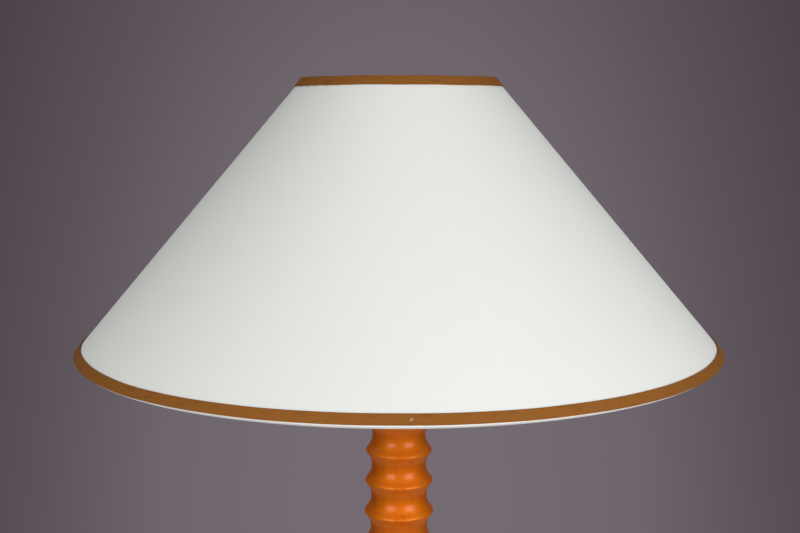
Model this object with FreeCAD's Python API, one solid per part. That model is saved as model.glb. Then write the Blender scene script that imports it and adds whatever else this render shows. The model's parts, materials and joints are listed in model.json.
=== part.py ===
import FreeCAD
import Part
import math
import os

# A candlestick floor lamp. A tall wooden shaft, turned with graduated rings, stands on a weighted
# turned foot and ends in a drip pan and candle cup. A threaded tube runs up through every wooden
# piece and clamps them together. It carries a brass socket with a turn key, a harp, and a wide
# conical shade on a wire spider, held down by a finial.
#
# Millimetres, +Z up. Z is the lamp's axis, and the origin is on the floor under it. The front is -Y,
# the harp stands in the XZ plane, and the cord inlet is at the back, +Y.

# ---------------------------------------------------------------- clearances
running_clearance = 0.05        # radial, where one piece turns or slides in another
spigot_clearance = 0.2          # radial, wooden spigot in its socket
seat_gap = 0.1                  # between flat faces of pieces that turn on each other
glue_gap = 0.02                 # between layers that are glued, so that they touch and don't overlap
cut_past = 1.0                  # how far a drilled hole's cutter runs past the face

# ---------------------------------------------------------------- threaded tube
tube_d = 10.2
tube_bore_d = 6.8
tube_hole_clearance = 0.5       # radial, in the long bored hole of the wooden pieces
tube_tail = 3.4                 # below the foot nut
tube_in_socket = 6.0            # above the saddle, inside the socket cap's hub

# ---------------------------------------------------------------- foot
felt_thickness = 2.0
felt_margin = 2.0               # felt's edge inside the foot's flat underside
board_thickness = 3.0
board_rebate = 26.0             # how far the board reaches past the recess
foot_height = 60.0
foot_radius = 172.0             # crest of the rounded edge
foot_edge_height = 32.0
foot_edge_bulge = 14.0
foot_quirk_depth = 6.0          # step between the rounded edge and the dome
foot_quirk_height = 3.0
foot_top_radius = 116.0
foot_fillet_height = 4.5        # small upright step under the bell
foot_dome_bulge = 5.6           # how far the dome's arc stands off its chord
foot_socket_depth = 12.0
foot_socket_radius = 36.0
ballast_radius = 118.0
ballast_thickness = 14.0
ballast_margin = 4.0            # radial room round the ballast
cavity_height = 17.0            # room under the ballast for the nut and the cord
foot_washer_radius = 12.0
foot_washer_thickness = 1.6
foot_nut_width = 17.0           # across flats
foot_nut_height = 6.0
ballast_screw_count = 3
ballast_screw_circle = 84.0     # radius that they stand on
ballast_screw_head_radius = 4.5
ballast_screw_head_height = 3.0
board_screw_count = 4
board_screw_head_radius = 3.8
board_screw_head_height = 1.6
screw_shank_radius = 2.0
screw_bite = 12.0               # length of thread in the wood

# ---------------------------------------------------------------- cord inlet
inlet_bore_d = 7.6
inlet_wall = 2.2
inlet_flange_radius = 9.4
inlet_flange_thickness = 2.5
inlet_depth = 16.0              # bushing's barrel in the wood
inlet_spot_face = 4.5           # flat cut into the rounded edge, measured from its crest
inlet_flange_clearance = 1.0

# ---------------------------------------------------------------- bell
bell_base_radius = 112.0
bell_bead_bulge = 7.0
bell_bead_height = 24.0
bell_quirk_depth = 5.0
bell_cove_top_radius = 61.0
bell_cove_height = 99.6
bell_cove_depth = 17.0          # how far the cove's arc stands off its chord
bell_collar_step = 5.0
bell_collar_bulge = 7.0
bell_collar_height = 22.0
bell_neck_radius = 57.0
bell_neck_depth = 7.0
bell_neck_height = 26.0
bell_top_bulge = 5.0
bell_top_height = 16.0
bell_lip_height = 2.0

# ---------------------------------------------------------------- shaft
ring_radius = 28.3              # crest of the top ring
ring_pitch = 26.4               # height of the top ring, valley to valley
ring_growth_ratio = 1.0245      # each ring is this much larger than the one above it, every way
valley_share = 0.815            # valley radius over crest radius
valley_pull_share = 0.60        # how far the hollow runs upright, over half the ring's height
nose_pull_share = 0.36          # how far the nose runs upright, over half the ring's height
upper_ring_count = 10           # rings on each length of the shaft
middle_ring_count = 9
lower_ring_count = 9
shaft_spigot_share = 0.42       # spigot radius over the joint's radius
shaft_spigot_length = 14.0
spigot_end_gap = 0.5

# ---------------------------------------------------------------- drip pan, candle cup and brass
pan_radius = 49.0
pan_hub_radius = 23.4
pan_hub_height = 3.0
pan_rim_height = 3.0
pan_cove_rise = 3.2             # underside, from hub to rim
pan_cove_depth = 1.6
pan_height = 9.0
pan_dish_depth = 3.0
cup_seat_radius = 19.0
cup_spigot_radius = 11.0
cup_spigot_length = 5.0
cup_height = 26.0
cup_foot_height = 4.0
cup_waist_radius = 15.5
cup_waist_height = 8.0
cup_belly_bulge = 3.0
cup_lip_radius = 21.5
cup_lip_height = 4.0
cap_radius = 20.0
cap_height = 4.0
cap_top_radius = 11.5
cap_wall = 0.9
collar_radius = 9.5
collar_height = 3.8
collar_bulge = 1.6
neck_nut_width = 14.0
neck_nut_height = 3.0

# ---------------------------------------------------------------- harp
harp_height = 190.0             # saddle's underside to the shade's seat
harp_wire_d = 3.8
harp_foot_span = 54.0
harp_half_width = 50.0
harp_leg_straight = 23.0        # upright stretch that the sleeve slides up
harp_flare_angle = 24.0         # degrees
harp_flare_radius = 22.0
harp_side_radius = 70.0
harp_shoulder_angle = 75.0      # degrees
harp_shoulder_radius = 30.0
harp_crown_radius = 20.0
harp_top_flat = 14.0            # straight stretch that the post is pinned on
saddle_thickness = 1.6
saddle_width = 11.0
saddle_bend_radius = 14.2       # inside
saddle_arm_height = 18.0
peg_root = 4.0                  # peg's length beside the arm
peg_height = 7.0                # pegs that the harp's legs stand on
sleeve_wall = 1.6
sleeve_length = 14.0
sleeve_travel = 14.0
post_radius = 5.5
post_wall = 3.1                 # below and above the wire
post_flange_radius = 9.5
post_flange_thickness = 2.0
stud_d = 6.2
stud_length = 13.0

# ---------------------------------------------------------------- socket and bulb
socket_hub_radius = 8.0
socket_hub_height = 7.0
socket_shoulder_height = 10.0
socket_rim_height = 4.0
socket_cap_wall = 0.8
socket_cap_bulge = 2.4
socket_cap_web = 1.1            # metal over the hub
shell_radius = 16.7             # outside
shell_wall = 0.6
shell_overlap = 3.0             # how far the shell stands in the cap's rim
shell_height = 44.0
shell_lip_bulge = 0.9
shell_lip_height = 3.0
shell_groove_gap = 0.1          # radial, shell in the cap's rim
liner_wall = 0.8                # insulating sleeve inside the shell
liner_top_gap = 4.0             # its end below the shell's lip
body_height = 20.0
body_radius = 12.2              # insulating body under its flange
body_flange_height = 4.0
body_clearance = 0.1
screw_shell_wall = 0.45
screw_shell_height = 23.0
contact_radius = 3.0
contact_height = 2.4
terminal_radius = 2.6
terminal_height = 2.0
terminal_shank_radius = 1.4
terminal_shank_length = 5.0
terminal_level = 6.0            # above the insulating body's underside
key_shaft_radius = 2.4
key_shaft_depth = 9.0           # inside the insulating body
key_neck_radius = 3.4
key_neck_length = 4.0
key_paddle_length = 9.0
key_paddle_corner = 4.0
key_paddle_width = 15.0
key_paddle_thickness = 3.2
key_hole_clearance = 0.8        # key's neck in the shell's side
key_neck_stand_off = 1.2        # neck's shoulder clear of the shell
bulb_base_d = 25.8
bulb_seat_gap = 0.2             # tip above the centre contact
bulb_tip_radius = 4.8
bulb_tip_height = 1.4
bulb_insulator_height = 2.2
bulb_base_height = 19.4
bulb_neck_radius = 13.4
bulb_globe_radius = 30.0
bulb_globe_height = 48.0        # from the metal base to the globe's widest point
bulb_glass = 0.9

# ---------------------------------------------------------------- finial
finial_base_radius = 7.6
finial_base_height = 3.0
finial_waist_radius = 4.9
finial_base_bulge = 1.2
finial_waist_hollow = 0.8
finial_ball_radius = 7.0
finial_height = 19.8
finial_thread_room = 1.4        # blind hole past the stud's end

# ---------------------------------------------------------------- shade
shade_bottom_radius = 278.0     # inner face of the liner
shade_top_radius = 81.9
shade_rise = 231.5
cover_thickness = 0.5
liner_thickness = 0.6
ring_wire_d = 2.5
tape_thickness = 0.35           # white binding tape, folded round both edges
tape_outside = 6.0
tape_inside = 8.0
trim_width = 8.1
trim_thickness = 0.7
trim_reveal = 1.4               # white tape left showing below the lower trim
spider_drop = 23.2              # top ring's wire above the middle of the hub
spider_arm_count = 3
spider_first_angle = 90.0       # degrees from +X
spider_hub_radius = 14.0
spider_hub_thickness = 4.0
spider_bend_radius = 12.0
spider_slope = 30.0             # degrees
spider_end_straight = 4.0
spider_weld = 0.3               # arm's end short of the ring's middle line
spider_notch_clearance = 0.5    # tape cut clear of the arms

Z_AXIS = FreeCAD.Vector(0, 0, 1)
ORIGIN = FreeCAD.Vector(0, 0, 0)


# ================================================================ drawing tools
class Outline:
    """A closed outline in the half plane right of the axis, drawn point by point and turned about Z."""

    def __init__(self, r, z, place=None):
        self.place = place or (lambda a, b: FreeCAD.Vector(a, 0, b))
        self.start = self.here = (r, z)
        self.edges = []

    def line(self, r, z):
        """Draws a straight line to (r, z)."""
        self.edges.append(Part.LineSegment(self.place(*self.here), self.place(r, z)).toShape())
        self.here = (r, z)
        return self

    def path(self, *points):
        """Draws straight lines through several points."""
        for r, z in points:
            self.line(r, z)
        return self

    def bulge(self, r, z, height):
        """Draws an arc to (r, z) whose middle stands height to the right of the chord, seen along it."""
        (r0, z0), length = self.here, math.dist(self.here, (r, z))
        middle = ((r0 + r) / 2 + (z - z0) / length * height, (z0 + z) / 2 - (r - r0) / length * height)
        self.edges.append(Part.Arc(self.place(*self.here), self.place(*middle), self.place(r, z)).toShape())
        self.here = (r, z)
        return self

    def half_bend(self, r, z, upright_first):
        """Draws an arc to (r, z) that runs straight up or down at its start, or else at its end."""
        (r0, z0) = self.here
        across, along = r - r0, z - z0
        radius = (across ** 2 + along ** 2) / (2 * abs(across))
        turn = math.asin(min(1.0, abs(along) / radius)) / 2
        side, way = math.copysign(1, across), math.copysign(1, along)
        shift = (side * radius * (1 - math.cos(turn)), way * radius * math.sin(turn))
        middle = (r0 + shift[0], z0 + shift[1]) if upright_first else (r - shift[0], z - shift[1])
        self.edges.append(Part.Arc(self.place(*self.here), self.place(*middle), self.place(r, z)).toShape())
        self.here = (r, z)
        return self

    def round(self, r, z, centre):
        """Draws the shorter arc to (r, z) about centre."""
        spokes = [(a - centre[0], b - centre[1]) for a, b in (self.here, (r, z))]
        across, along = spokes[0][0] + spokes[1][0], spokes[0][1] + spokes[1][1]
        stretch = math.hypot(*spokes[0]) / math.hypot(across, along)
        middle = (centre[0] + across * stretch, centre[1] + along * stretch)
        self.edges.append(Part.Arc(self.place(*self.here), self.place(*middle), self.place(r, z)).toShape())
        self.here = (r, z)
        return self

    def wave(self, r, z, start_pull, end_pull):
        """Draws an S from upright to upright, with handles of those shares of its height at its two ends."""
        (r0, z0) = self.here
        poles = [(r0, z0), (r0, z0 + (z - z0) * start_pull), (r, z - (z - z0) * end_pull), (r, z)]
        curve = Part.BezierCurve()
        curve.setPoles([self.place(*pole) for pole in poles])
        self.edges.append(curve.toShape())
        self.here = (r, z)
        return self

    def face(self):
        """Closes the outline and fills it."""
        if math.dist(self.here, self.start) > 1e-9:
            self.line(*self.start)
        return Part.Face(Part.Wire(self.edges))

    def turned(self):
        """The solid that the outline sweeps out, turned about Z."""
        return self.face().revolve(ORIGIN, Z_AXIS, 360)


class WirePath:
    """The middle line of a bent wire: straight stretches joined by tangent arcs, in a vertical plane."""

    def __init__(self, x, z, heading):
        self.x, self.z, self.heading = x, z, math.radians(heading)
        self.edges = []

    def point(self):
        return FreeCAD.Vector(self.x, 0, self.z)

    def straight(self, length):
        start = self.point()
        self.x += length * math.cos(self.heading)
        self.z += length * math.sin(self.heading)
        self.edges.append(Part.LineSegment(start, self.point()).toShape())
        return self

    def turn(self, radius, degrees):
        """Bends left by that many degrees, or right where it is negative."""
        side, start = math.copysign(1, degrees), self.point()
        centre = (self.x - side * radius * math.sin(self.heading),
                  self.z + side * radius * math.cos(self.heading))
        on_arc = []
        for share in (0.5, 1.0):
            heading = self.heading + math.radians(degrees) * share
            on_arc.append(FreeCAD.Vector(centre[0] + side * radius * math.sin(heading), 0,
                                         centre[1] - side * radius * math.cos(heading)))
        self.edges.append(Part.Arc(start, *on_arc).toShape())
        self.x, self.z = on_arc[1].x, on_arc[1].z
        self.heading += math.radians(degrees)
        return self

    def wire(self, radius):
        """The round wire of that radius along the path."""
        spine = Part.Wire(self.edges)
        first = self.edges[0]
        begin = first.valueAt(first.FirstParameter)
        section = Part.Wire(Part.Circle(begin, first.tangentAt(first.FirstParameter), radius).toShape())
        return spine.makePipeShell([section], True, False)


def disc(radius, thickness, z, hole=0.0):
    """A flat round piece with its underside at z."""
    solid = Part.makeCylinder(radius, thickness, FreeCAD.Vector(0, 0, z))
    if hole:
        solid = solid.cut(Part.makeCylinder(hole, thickness, FreeCAD.Vector(0, 0, z)))
    return solid


def hex_nut(width, height, z, hole):
    """A six-sided nut, width across its flats, with its underside at z."""
    corner = width / math.sqrt(3)
    turns = [math.radians(60 * i) for i in range(6)]
    corners = [FreeCAD.Vector(corner * math.cos(turn), corner * math.sin(turn), z) for turn in turns]
    body = Part.Face(Part.makePolygon(corners + corners[:1])).extrude(FreeCAD.Vector(0, 0, height))
    return body.cut(Part.makeCylinder(hole, height, FreeCAD.Vector(0, 0, z)))


def turned_copies(shape, count, first=0.0):
    """The shape repeated round the axis, the first copy turned by first degrees."""
    copies = []
    for i in range(count):
        copy = shape.copy()
        copy.rotate(ORIGIN, Z_AXIS, first + 360.0 * i / count)
        copies.append(copy)
    return copies


def joined(shapes):
    """One solid from overlapping ones."""
    return shapes[0].fuse(shapes[1:]).removeSplitter()


# ================================================================ levels, from the floor up
foot_bottom = felt_thickness
foot_top = foot_bottom + foot_height
board_top = foot_bottom + board_thickness
ballast_bottom = board_top + cavity_height
recess_top = ballast_bottom + ballast_thickness
recess_radius = ballast_radius + ballast_margin
board_radius = recess_radius + board_rebate
foot_nut_bottom = ballast_bottom - foot_washer_thickness - foot_nut_height
tube_bottom = foot_nut_bottom - tube_tail
tube_hole = tube_d / 2 + tube_hole_clearance
tube_fit = tube_d / 2 + running_clearance

bell_top = (foot_top + bell_bead_height + bell_cove_height + bell_collar_height + bell_neck_height
            + bell_top_height + bell_lip_height)


def ring_scale(step):
    """Size of a ring that many steps down the series, over the top ring's."""
    return ring_growth_ratio ** step


def rings_height(first, count):
    """Height of count rings, from the ring that is first steps down the series."""
    return sum(ring_pitch * ring_scale(step) for step in range(first, first + count))


def valley_radius(step):
    """Radius of the valley above the ring that is step steps down the series."""
    return ring_radius * ring_scale(step - 0.5) * valley_share


def spigot_radius(joint_radius):
    """Radius of the spigot inside a joint of that outer radius."""
    return joint_radius * shaft_spigot_share


first_middle_ring = upper_ring_count
first_lower_ring = upper_ring_count + middle_ring_count
ring_count = upper_ring_count + middle_ring_count + lower_ring_count
lower_shaft_top = bell_top + rings_height(first_lower_ring, lower_ring_count)
middle_shaft_top = lower_shaft_top + rings_height(first_middle_ring, middle_ring_count)
shaft_top = middle_shaft_top + rings_height(0, upper_ring_count)

pan_top = shaft_top + pan_height
cup_top = pan_top + cup_height
cap_top = cup_top + cap_height
collar_top = cap_top + collar_height
saddle_bottom = collar_top + neck_nut_height
saddle_top = saddle_bottom + saddle_thickness
tube_top = saddle_top + tube_in_socket

peg_bottom = saddle_bottom + saddle_arm_height
leg_bottom = peg_bottom + peg_height
shade_seat = saddle_bottom + harp_height
harp_wire_level = shade_seat - post_flange_thickness - post_wall - harp_wire_d / 2

cap_rim_bottom = saddle_top + socket_hub_height + socket_shoulder_height
cap_rim_top = cap_rim_bottom + socket_rim_height
shell_bottom = cap_rim_top - shell_overlap
shell_top = shell_bottom + shell_height
body_bottom = cap_rim_bottom
body_top = body_bottom + body_height
key_level = (cap_rim_top + body_top - body_flange_height) / 2
contact_top = body_top + contact_height

hub_bottom = shade_seat + seat_gap
hub_top = hub_bottom + spider_hub_thickness
hub_middle = (hub_bottom + hub_top) / 2
finial_bottom = hub_top + seat_gap
stud_top = shade_seat + stud_length

shade_slant = math.hypot(shade_bottom_radius - shade_top_radius, shade_rise)
ring_inset = glue_gap + ring_wire_d / 2


def slant_drop(s, t):
    """How far a point of the shade's wall lies below the liner's top edge."""
    return (s * shade_rise - t * (shade_bottom_radius - shade_top_radius)) / shade_slant


def slant_radius(s, t):
    """Radius of the point s down the shade's slant and t outside the liner's inner face."""
    return shade_top_radius + (s * (shade_bottom_radius - shade_top_radius) + t * shade_rise) / shade_slant


shade_top_level = hub_middle + spider_drop + slant_drop(ring_inset, -ring_inset)


# ================================================================ foot
def screws_on_circle(count, circle, first, bottom, head, shank_length):
    """Woodscrews standing on a circle, and the clearance bodies that cut their holes.

    head is the head's (radius, height), below bottom, and the shank goes up from there.
    """
    screws, holes = [], []
    for copy in range(count):
        turn = first + 2 * math.pi * copy / count
        foot = FreeCAD.Vector(circle * math.cos(turn), circle * math.sin(turn), bottom)
        cap = Part.makeCylinder(head[0], head[1], foot - Z_AXIS * head[1])
        screws.append(cap.fuse(Part.makeCylinder(screw_shank_radius, shank_length, foot)))
        shank_hole = Part.makeCylinder(screw_shank_radius + running_clearance,
                                       shank_length + running_clearance, foot)
        head_hole = Part.makeCylinder(head[0] + running_clearance, head[1], foot - Z_AXIS * head[1])
        holes.append(shank_hole.fuse(head_hole))
    return Part.makeCompound(screws), holes


def build_foot():
    """The weighted foot: wood, ballast, fixings, bottom board, felt and the bushing of the cord inlet."""
    edge_foot = foot_radius - foot_edge_bulge
    edge_top = foot_bottom + foot_edge_height
    socket_bottom = foot_top - foot_socket_depth
    outline = Outline(board_radius + spigot_clearance, foot_bottom)
    outline.line(edge_foot, foot_bottom)
    outline.bulge(edge_foot, edge_top, foot_edge_bulge)
    outline.line(edge_foot - foot_quirk_depth, edge_top)
    outline.line(edge_foot - foot_quirk_depth, edge_top + foot_quirk_height)
    outline.bulge(foot_top_radius, foot_top - foot_fillet_height, foot_dome_bulge)
    outline.path((foot_top_radius, foot_top), (foot_socket_radius, foot_top))
    outline.path((foot_socket_radius, socket_bottom), (tube_hole, socket_bottom))
    outline.path((tube_hole, recess_top), (recess_radius, recess_top), (recess_radius, board_top))
    outline.line(board_radius + spigot_clearance, board_top)
    foot = outline.turned()

    back = FreeCAD.Vector(0, 1, 0)
    inlet_level = foot_bottom + foot_edge_height / 2
    barrel_radius = inlet_bore_d / 2 + inlet_wall
    spot_face = foot_radius - inlet_spot_face

    def crossways(radius, length, start):
        """A round bar along +Y at the inlet's level."""
        return Part.makeCylinder(radius, length, FreeCAD.Vector(0, start, inlet_level), back)

    barrel_start = spot_face - inlet_depth
    cord_hole = crossways(barrel_radius + running_clearance, foot_radius - recess_radius + cut_past,
                          recess_radius - cut_past)
    facing = crossways(inlet_flange_radius + inlet_flange_clearance, inlet_spot_face + cut_past, spot_face)
    bushing = crossways(barrel_radius, inlet_depth, barrel_start)
    bushing = bushing.fuse(crossways(inlet_flange_radius, inlet_flange_thickness, spot_face))
    bushing = bushing.cut(crossways(inlet_bore_d / 2, inlet_depth + inlet_flange_thickness, barrel_start))

    ballast_screws, ballast_holes = screws_on_circle(
        ballast_screw_count, ballast_screw_circle, math.radians(30), ballast_bottom,
        (ballast_screw_head_radius, ballast_screw_head_height), ballast_thickness + screw_bite)
    board_screws, board_holes = screws_on_circle(
        board_screw_count, (recess_radius + board_radius) / 2, math.radians(45),
        foot_bottom + board_screw_head_height, (board_screw_head_radius, board_screw_head_height),
        board_thickness + screw_bite)

    return {
        "foot": foot.cut([cord_hole, facing] + ballast_holes + board_holes),
        "ballast": disc(ballast_radius, ballast_thickness, ballast_bottom, tube_fit).cut(ballast_holes),
        "ballast_screws": ballast_screws,
        "foot_washer": disc(foot_washer_radius, foot_washer_thickness, ballast_bottom - foot_washer_thickness,
                            tube_fit),
        "foot_nut": hex_nut(foot_nut_width, foot_nut_height, foot_nut_bottom, tube_fit),
        "bottom_board": disc(board_radius, board_thickness, foot_bottom).cut(board_holes),
        "board_screws": board_screws,
        "felt": disc(edge_foot - felt_margin, felt_thickness, 0),
        "cord_bushing": bushing,
    }


def build_bell():
    """The turned bell between the foot and the shaft, with a spigot below and a socket above."""
    cove_bottom = foot_top + bell_bead_height
    collar_bottom = cove_bottom + bell_cove_height
    neck_bottom = collar_bottom + bell_collar_height
    bead_bottom = neck_bottom + bell_neck_height
    lip_bottom = bead_bottom + bell_top_height
    collar_foot = bell_cove_top_radius + bell_collar_step
    spigot = foot_socket_radius - spigot_clearance
    spigot_bottom = foot_top - foot_socket_depth + spigot_end_gap
    socket = spigot_radius(valley_radius(ring_count)) + spigot_clearance
    socket_bottom = bell_top - shaft_spigot_length - spigot_end_gap
    outline = Outline(tube_hole, spigot_bottom)
    outline.path((spigot, spigot_bottom), (spigot, foot_top), (bell_base_radius, foot_top))
    outline.bulge(bell_base_radius, cove_bottom, bell_bead_bulge)
    outline.line(bell_base_radius - bell_quirk_depth, cove_bottom)
    outline.bulge(bell_cove_top_radius, collar_bottom, -bell_cove_depth)
    outline.line(collar_foot, collar_bottom)
    outline.bulge(collar_foot, neck_bottom, bell_collar_bulge)
    outline.line(bell_neck_radius, neck_bottom)
    outline.bulge(bell_neck_radius, bead_bottom, -bell_neck_depth)
    outline.bulge(bell_neck_radius, lip_bottom, bell_top_bulge)
    outline.path((valley_radius(ring_count), bell_top), (socket, bell_top), (socket, socket_bottom))
    outline.line(tube_hole, socket_bottom)
    return {"bell": outline.turned()}


# ================================================================ shaft
def ring_turned_length(top, first, count):
    """A length of the shaft with count rings, the uppermost first steps down the series.

    Each ring is a rounded nose between two wide hollows. The outline runs upright at every crest and at
    the bottom of every hollow, so rings and hollows pass into each other with no edge. The length has a
    socket in its top, for the spigot of the piece above, and a spigot under its own foot.
    """
    joint_above, joint_below = valley_radius(first), valley_radius(first + count)
    socket, spigot = spigot_radius(joint_above) + spigot_clearance, spigot_radius(joint_below)
    socket_bottom = top - shaft_spigot_length - spigot_end_gap
    outline = Outline(tube_hole, socket_bottom)
    outline.path((socket, socket_bottom), (socket, top), (joint_above, top))
    level = top
    for step in range(first, first + count):
        height = ring_pitch * ring_scale(step)
        outline.wave(ring_radius * ring_scale(step), level - height / 2, valley_pull_share, nose_pull_share)
        outline.wave(valley_radius(step + 1), level - height, nose_pull_share, valley_pull_share)
        level -= height
    spigot_bottom = level - shaft_spigot_length
    outline.path((spigot, level), (spigot, spigot_bottom), (tube_hole, spigot_bottom))
    return outline.turned()


def build_shaft():
    """The shaft's three turned lengths, glued spigot to socket."""
    return {
        "shaft_upper": ring_turned_length(shaft_top, 0, upper_ring_count),
        "shaft_middle": ring_turned_length(middle_shaft_top, first_middle_ring, middle_ring_count),
        "shaft_lower": ring_turned_length(lower_shaft_top, first_lower_ring, lower_ring_count),
    }


# ================================================================ capital
def build_capital():
    """The drip pan and candle cup, and the brass cap, collar and nut that clamp them down."""
    pan_spigot = spigot_radius(valley_radius(0))
    pan_hub_top = shaft_top + pan_hub_height
    rim_bottom = pan_hub_top + pan_cove_rise
    rim_top = rim_bottom + pan_rim_height
    cup_socket = cup_spigot_radius + spigot_clearance
    cup_socket_bottom = pan_top - cup_spigot_length - spigot_end_gap
    spigot_bottom = shaft_top - shaft_spigot_length
    pan = Outline(tube_hole, spigot_bottom)
    pan.path((pan_spigot, spigot_bottom), (pan_spigot, shaft_top), (pan_hub_radius, shaft_top))
    pan.line(pan_hub_radius, pan_hub_top)
    pan.bulge(pan_radius, rim_bottom, -pan_cove_depth)
    pan.bulge(pan_radius, rim_top, pan_rim_height / 2)
    pan.line(cup_seat_radius + pan_dish_depth, pan_top - pan_dish_depth)
    pan.path((cup_seat_radius, pan_top), (cup_socket, pan_top), (cup_socket, cup_socket_bottom))
    pan.line(tube_hole, cup_socket_bottom)

    waist_bottom = pan_top + cup_foot_height
    waist_top = waist_bottom + cup_waist_height
    lip_bottom = cup_top - cup_lip_height
    cup = Outline(tube_hole, pan_top - cup_spigot_length)
    cup.path((cup_spigot_radius, pan_top - cup_spigot_length), (cup_spigot_radius, pan_top),
             (cup_seat_radius, pan_top))
    cup.bulge(cup_seat_radius, waist_bottom, cup_foot_height / 2)
    cup.half_bend(cup_waist_radius, waist_bottom + cup_waist_height / 2, upright_first=False)
    cup.half_bend(cup_seat_radius, waist_top, upright_first=True)
    cup.bulge(cup_lip_radius, lip_bottom, cup_belly_bulge)
    cup.bulge(cup_lip_radius, cup_top, cup_lip_height / 2)
    cup.line(tube_hole, cup_top)

    cap = Outline(tube_fit, cap_top - cap_wall)
    cap.line(cap_top_radius - cap_wall, cap_top - cap_wall)
    cap.bulge(cap_radius - cap_wall, cup_top, -cap_wall)
    cap.line(cap_radius, cup_top)
    cap.bulge(cap_top_radius, cap_top, cap_wall)
    cap.line(tube_fit, cap_top)

    collar = Outline(tube_fit, cap_top)
    collar.line(collar_radius, cap_top)
    collar.bulge(collar_radius, collar_top, collar_bulge)
    collar.line(tube_fit, collar_top)

    return {
        "drip_pan": pan.turned(),
        "candle_cup": cup.turned(),
        "brass_cap": cap.turned(),
        "neck_collar": collar.turned(),
        "neck_nut": hex_nut(neck_nut_width, neck_nut_height, collar_top, tube_fit),
        "threaded_tube": disc(tube_d / 2, tube_top - tube_bottom, tube_bottom, tube_bore_d / 2),
    }


# ================================================================ harp
def build_saddle():
    """The strip under the socket, bent up at both ends into arms that end in round pegs."""
    inner = harp_foot_span / 2 - saddle_thickness / 2
    outer = inner + saddle_thickness
    bend_x, bend_z = inner - saddle_bend_radius, saddle_top + saddle_bend_radius
    strip = Outline(outer, peg_bottom)
    strip.line(outer, bend_z)
    strip.round(bend_x, saddle_bottom, (bend_x, bend_z))
    strip.line(-bend_x, saddle_bottom)
    strip.round(-outer, bend_z, (-bend_x, bend_z))
    strip.path((-outer, peg_bottom), (-inner, peg_bottom), (-inner, bend_z))
    strip.round(-bend_x, saddle_top, (-bend_x, bend_z))
    strip.line(bend_x, saddle_top)
    strip.round(inner, bend_z, (bend_x, bend_z))
    strip.line(inner, peg_bottom)
    body = strip.face()
    body.translate(FreeCAD.Vector(0, -saddle_width / 2, 0))
    body = body.extrude(FreeCAD.Vector(0, saddle_width, 0))
    pegs = [Part.makeCylinder(harp_wire_d / 2, peg_root + peg_height,
                              FreeCAD.Vector(side * harp_foot_span / 2, 0, peg_bottom - peg_root))
            for side in (-1, 1)]
    hole = Part.makeCylinder(tube_fit, saddle_thickness, FreeCAD.Vector(0, 0, saddle_bottom))
    return joined([body] + pegs).cut(hole)


def build_harp_wire():
    """The harp: out of its upright legs into two bowed sides, over round shoulders to a flat crown."""
    flare, shoulder = math.radians(harp_flare_angle), math.radians(harp_shoulder_angle)
    crown = math.pi / 2 - shoulder
    bends_across = (harp_flare_radius + harp_side_radius) * (1 - math.cos(flare))
    bends_up = (harp_flare_radius + harp_side_radius) * math.sin(flare)
    flare_run = (harp_half_width - harp_foot_span / 2 - bends_across) / math.sin(flare)
    roof_across = (harp_half_width - harp_top_flat / 2 - harp_shoulder_radius * (1 - math.cos(shoulder))
                   - harp_crown_radius * math.sin(crown))
    roof_run = roof_across / math.cos(crown)
    roof_up = (harp_shoulder_radius * math.sin(shoulder) + roof_run * math.sin(crown)
               + harp_crown_radius * (1 - math.cos(crown)))
    side_run = (harp_wire_level - leg_bottom - harp_leg_straight - bends_up - flare_run * math.cos(flare)
                - roof_up)
    crown_angle = 90 - harp_shoulder_angle
    path = WirePath(harp_foot_span / 2, leg_bottom, 90)
    path.straight(harp_leg_straight).turn(harp_flare_radius, -harp_flare_angle).straight(flare_run)
    path.turn(harp_side_radius, harp_flare_angle).straight(side_run)
    path.turn(harp_shoulder_radius, harp_shoulder_angle).straight(roof_run)
    path.turn(harp_crown_radius, crown_angle).straight(harp_top_flat)
    path.turn(harp_crown_radius, crown_angle).straight(roof_run)
    path.turn(harp_shoulder_radius, harp_shoulder_angle).straight(side_run)
    path.turn(harp_side_radius, harp_flare_angle)
    path.straight(flare_run).turn(harp_flare_radius, -harp_flare_angle).straight(harp_leg_straight)
    return path.wire(harp_wire_d / 2)


def build_harp():
    """The saddle, the harp on its pegs, the two sleeves that lock it, and the threaded post on its crown."""
    wire_hole = harp_wire_d / 2 + glue_gap
    post = Outline(0, harp_wire_level - harp_wire_d / 2 - post_wall)
    post.line(post_radius, harp_wire_level - harp_wire_d / 2 - post_wall)
    flange_bottom = shade_seat - post_flange_thickness
    post.path((post_radius, flange_bottom), (post_flange_radius, flange_bottom))
    post.path((post_flange_radius, shade_seat), (stud_d / 2, shade_seat))
    post.path((stud_d / 2, stud_top), (0, stud_top))
    hole_start = FreeCAD.Vector(-post_flange_radius, 0, harp_wire_level)
    cross_hole = Part.makeCylinder(wire_hole, 2 * post_flange_radius, hole_start, FreeCAD.Vector(1, 0, 0))
    pieces = {
        "harp_saddle": build_saddle(),
        "harp_wire": build_harp_wire(),
        "harp_post": post.turned().cut(cross_hole),
    }
    bore = harp_wire_d / 2 + running_clearance
    for name, side in (("harp_sleeve_left", -1), ("harp_sleeve_right", 1)):
        sleeve = disc(bore + sleeve_wall, sleeve_length, peg_bottom + seat_gap, bore)
        sleeve.translate(FreeCAD.Vector(side * harp_foot_span / 2, 0, 0))
        pieces[name] = sleeve
    return pieces


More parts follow.
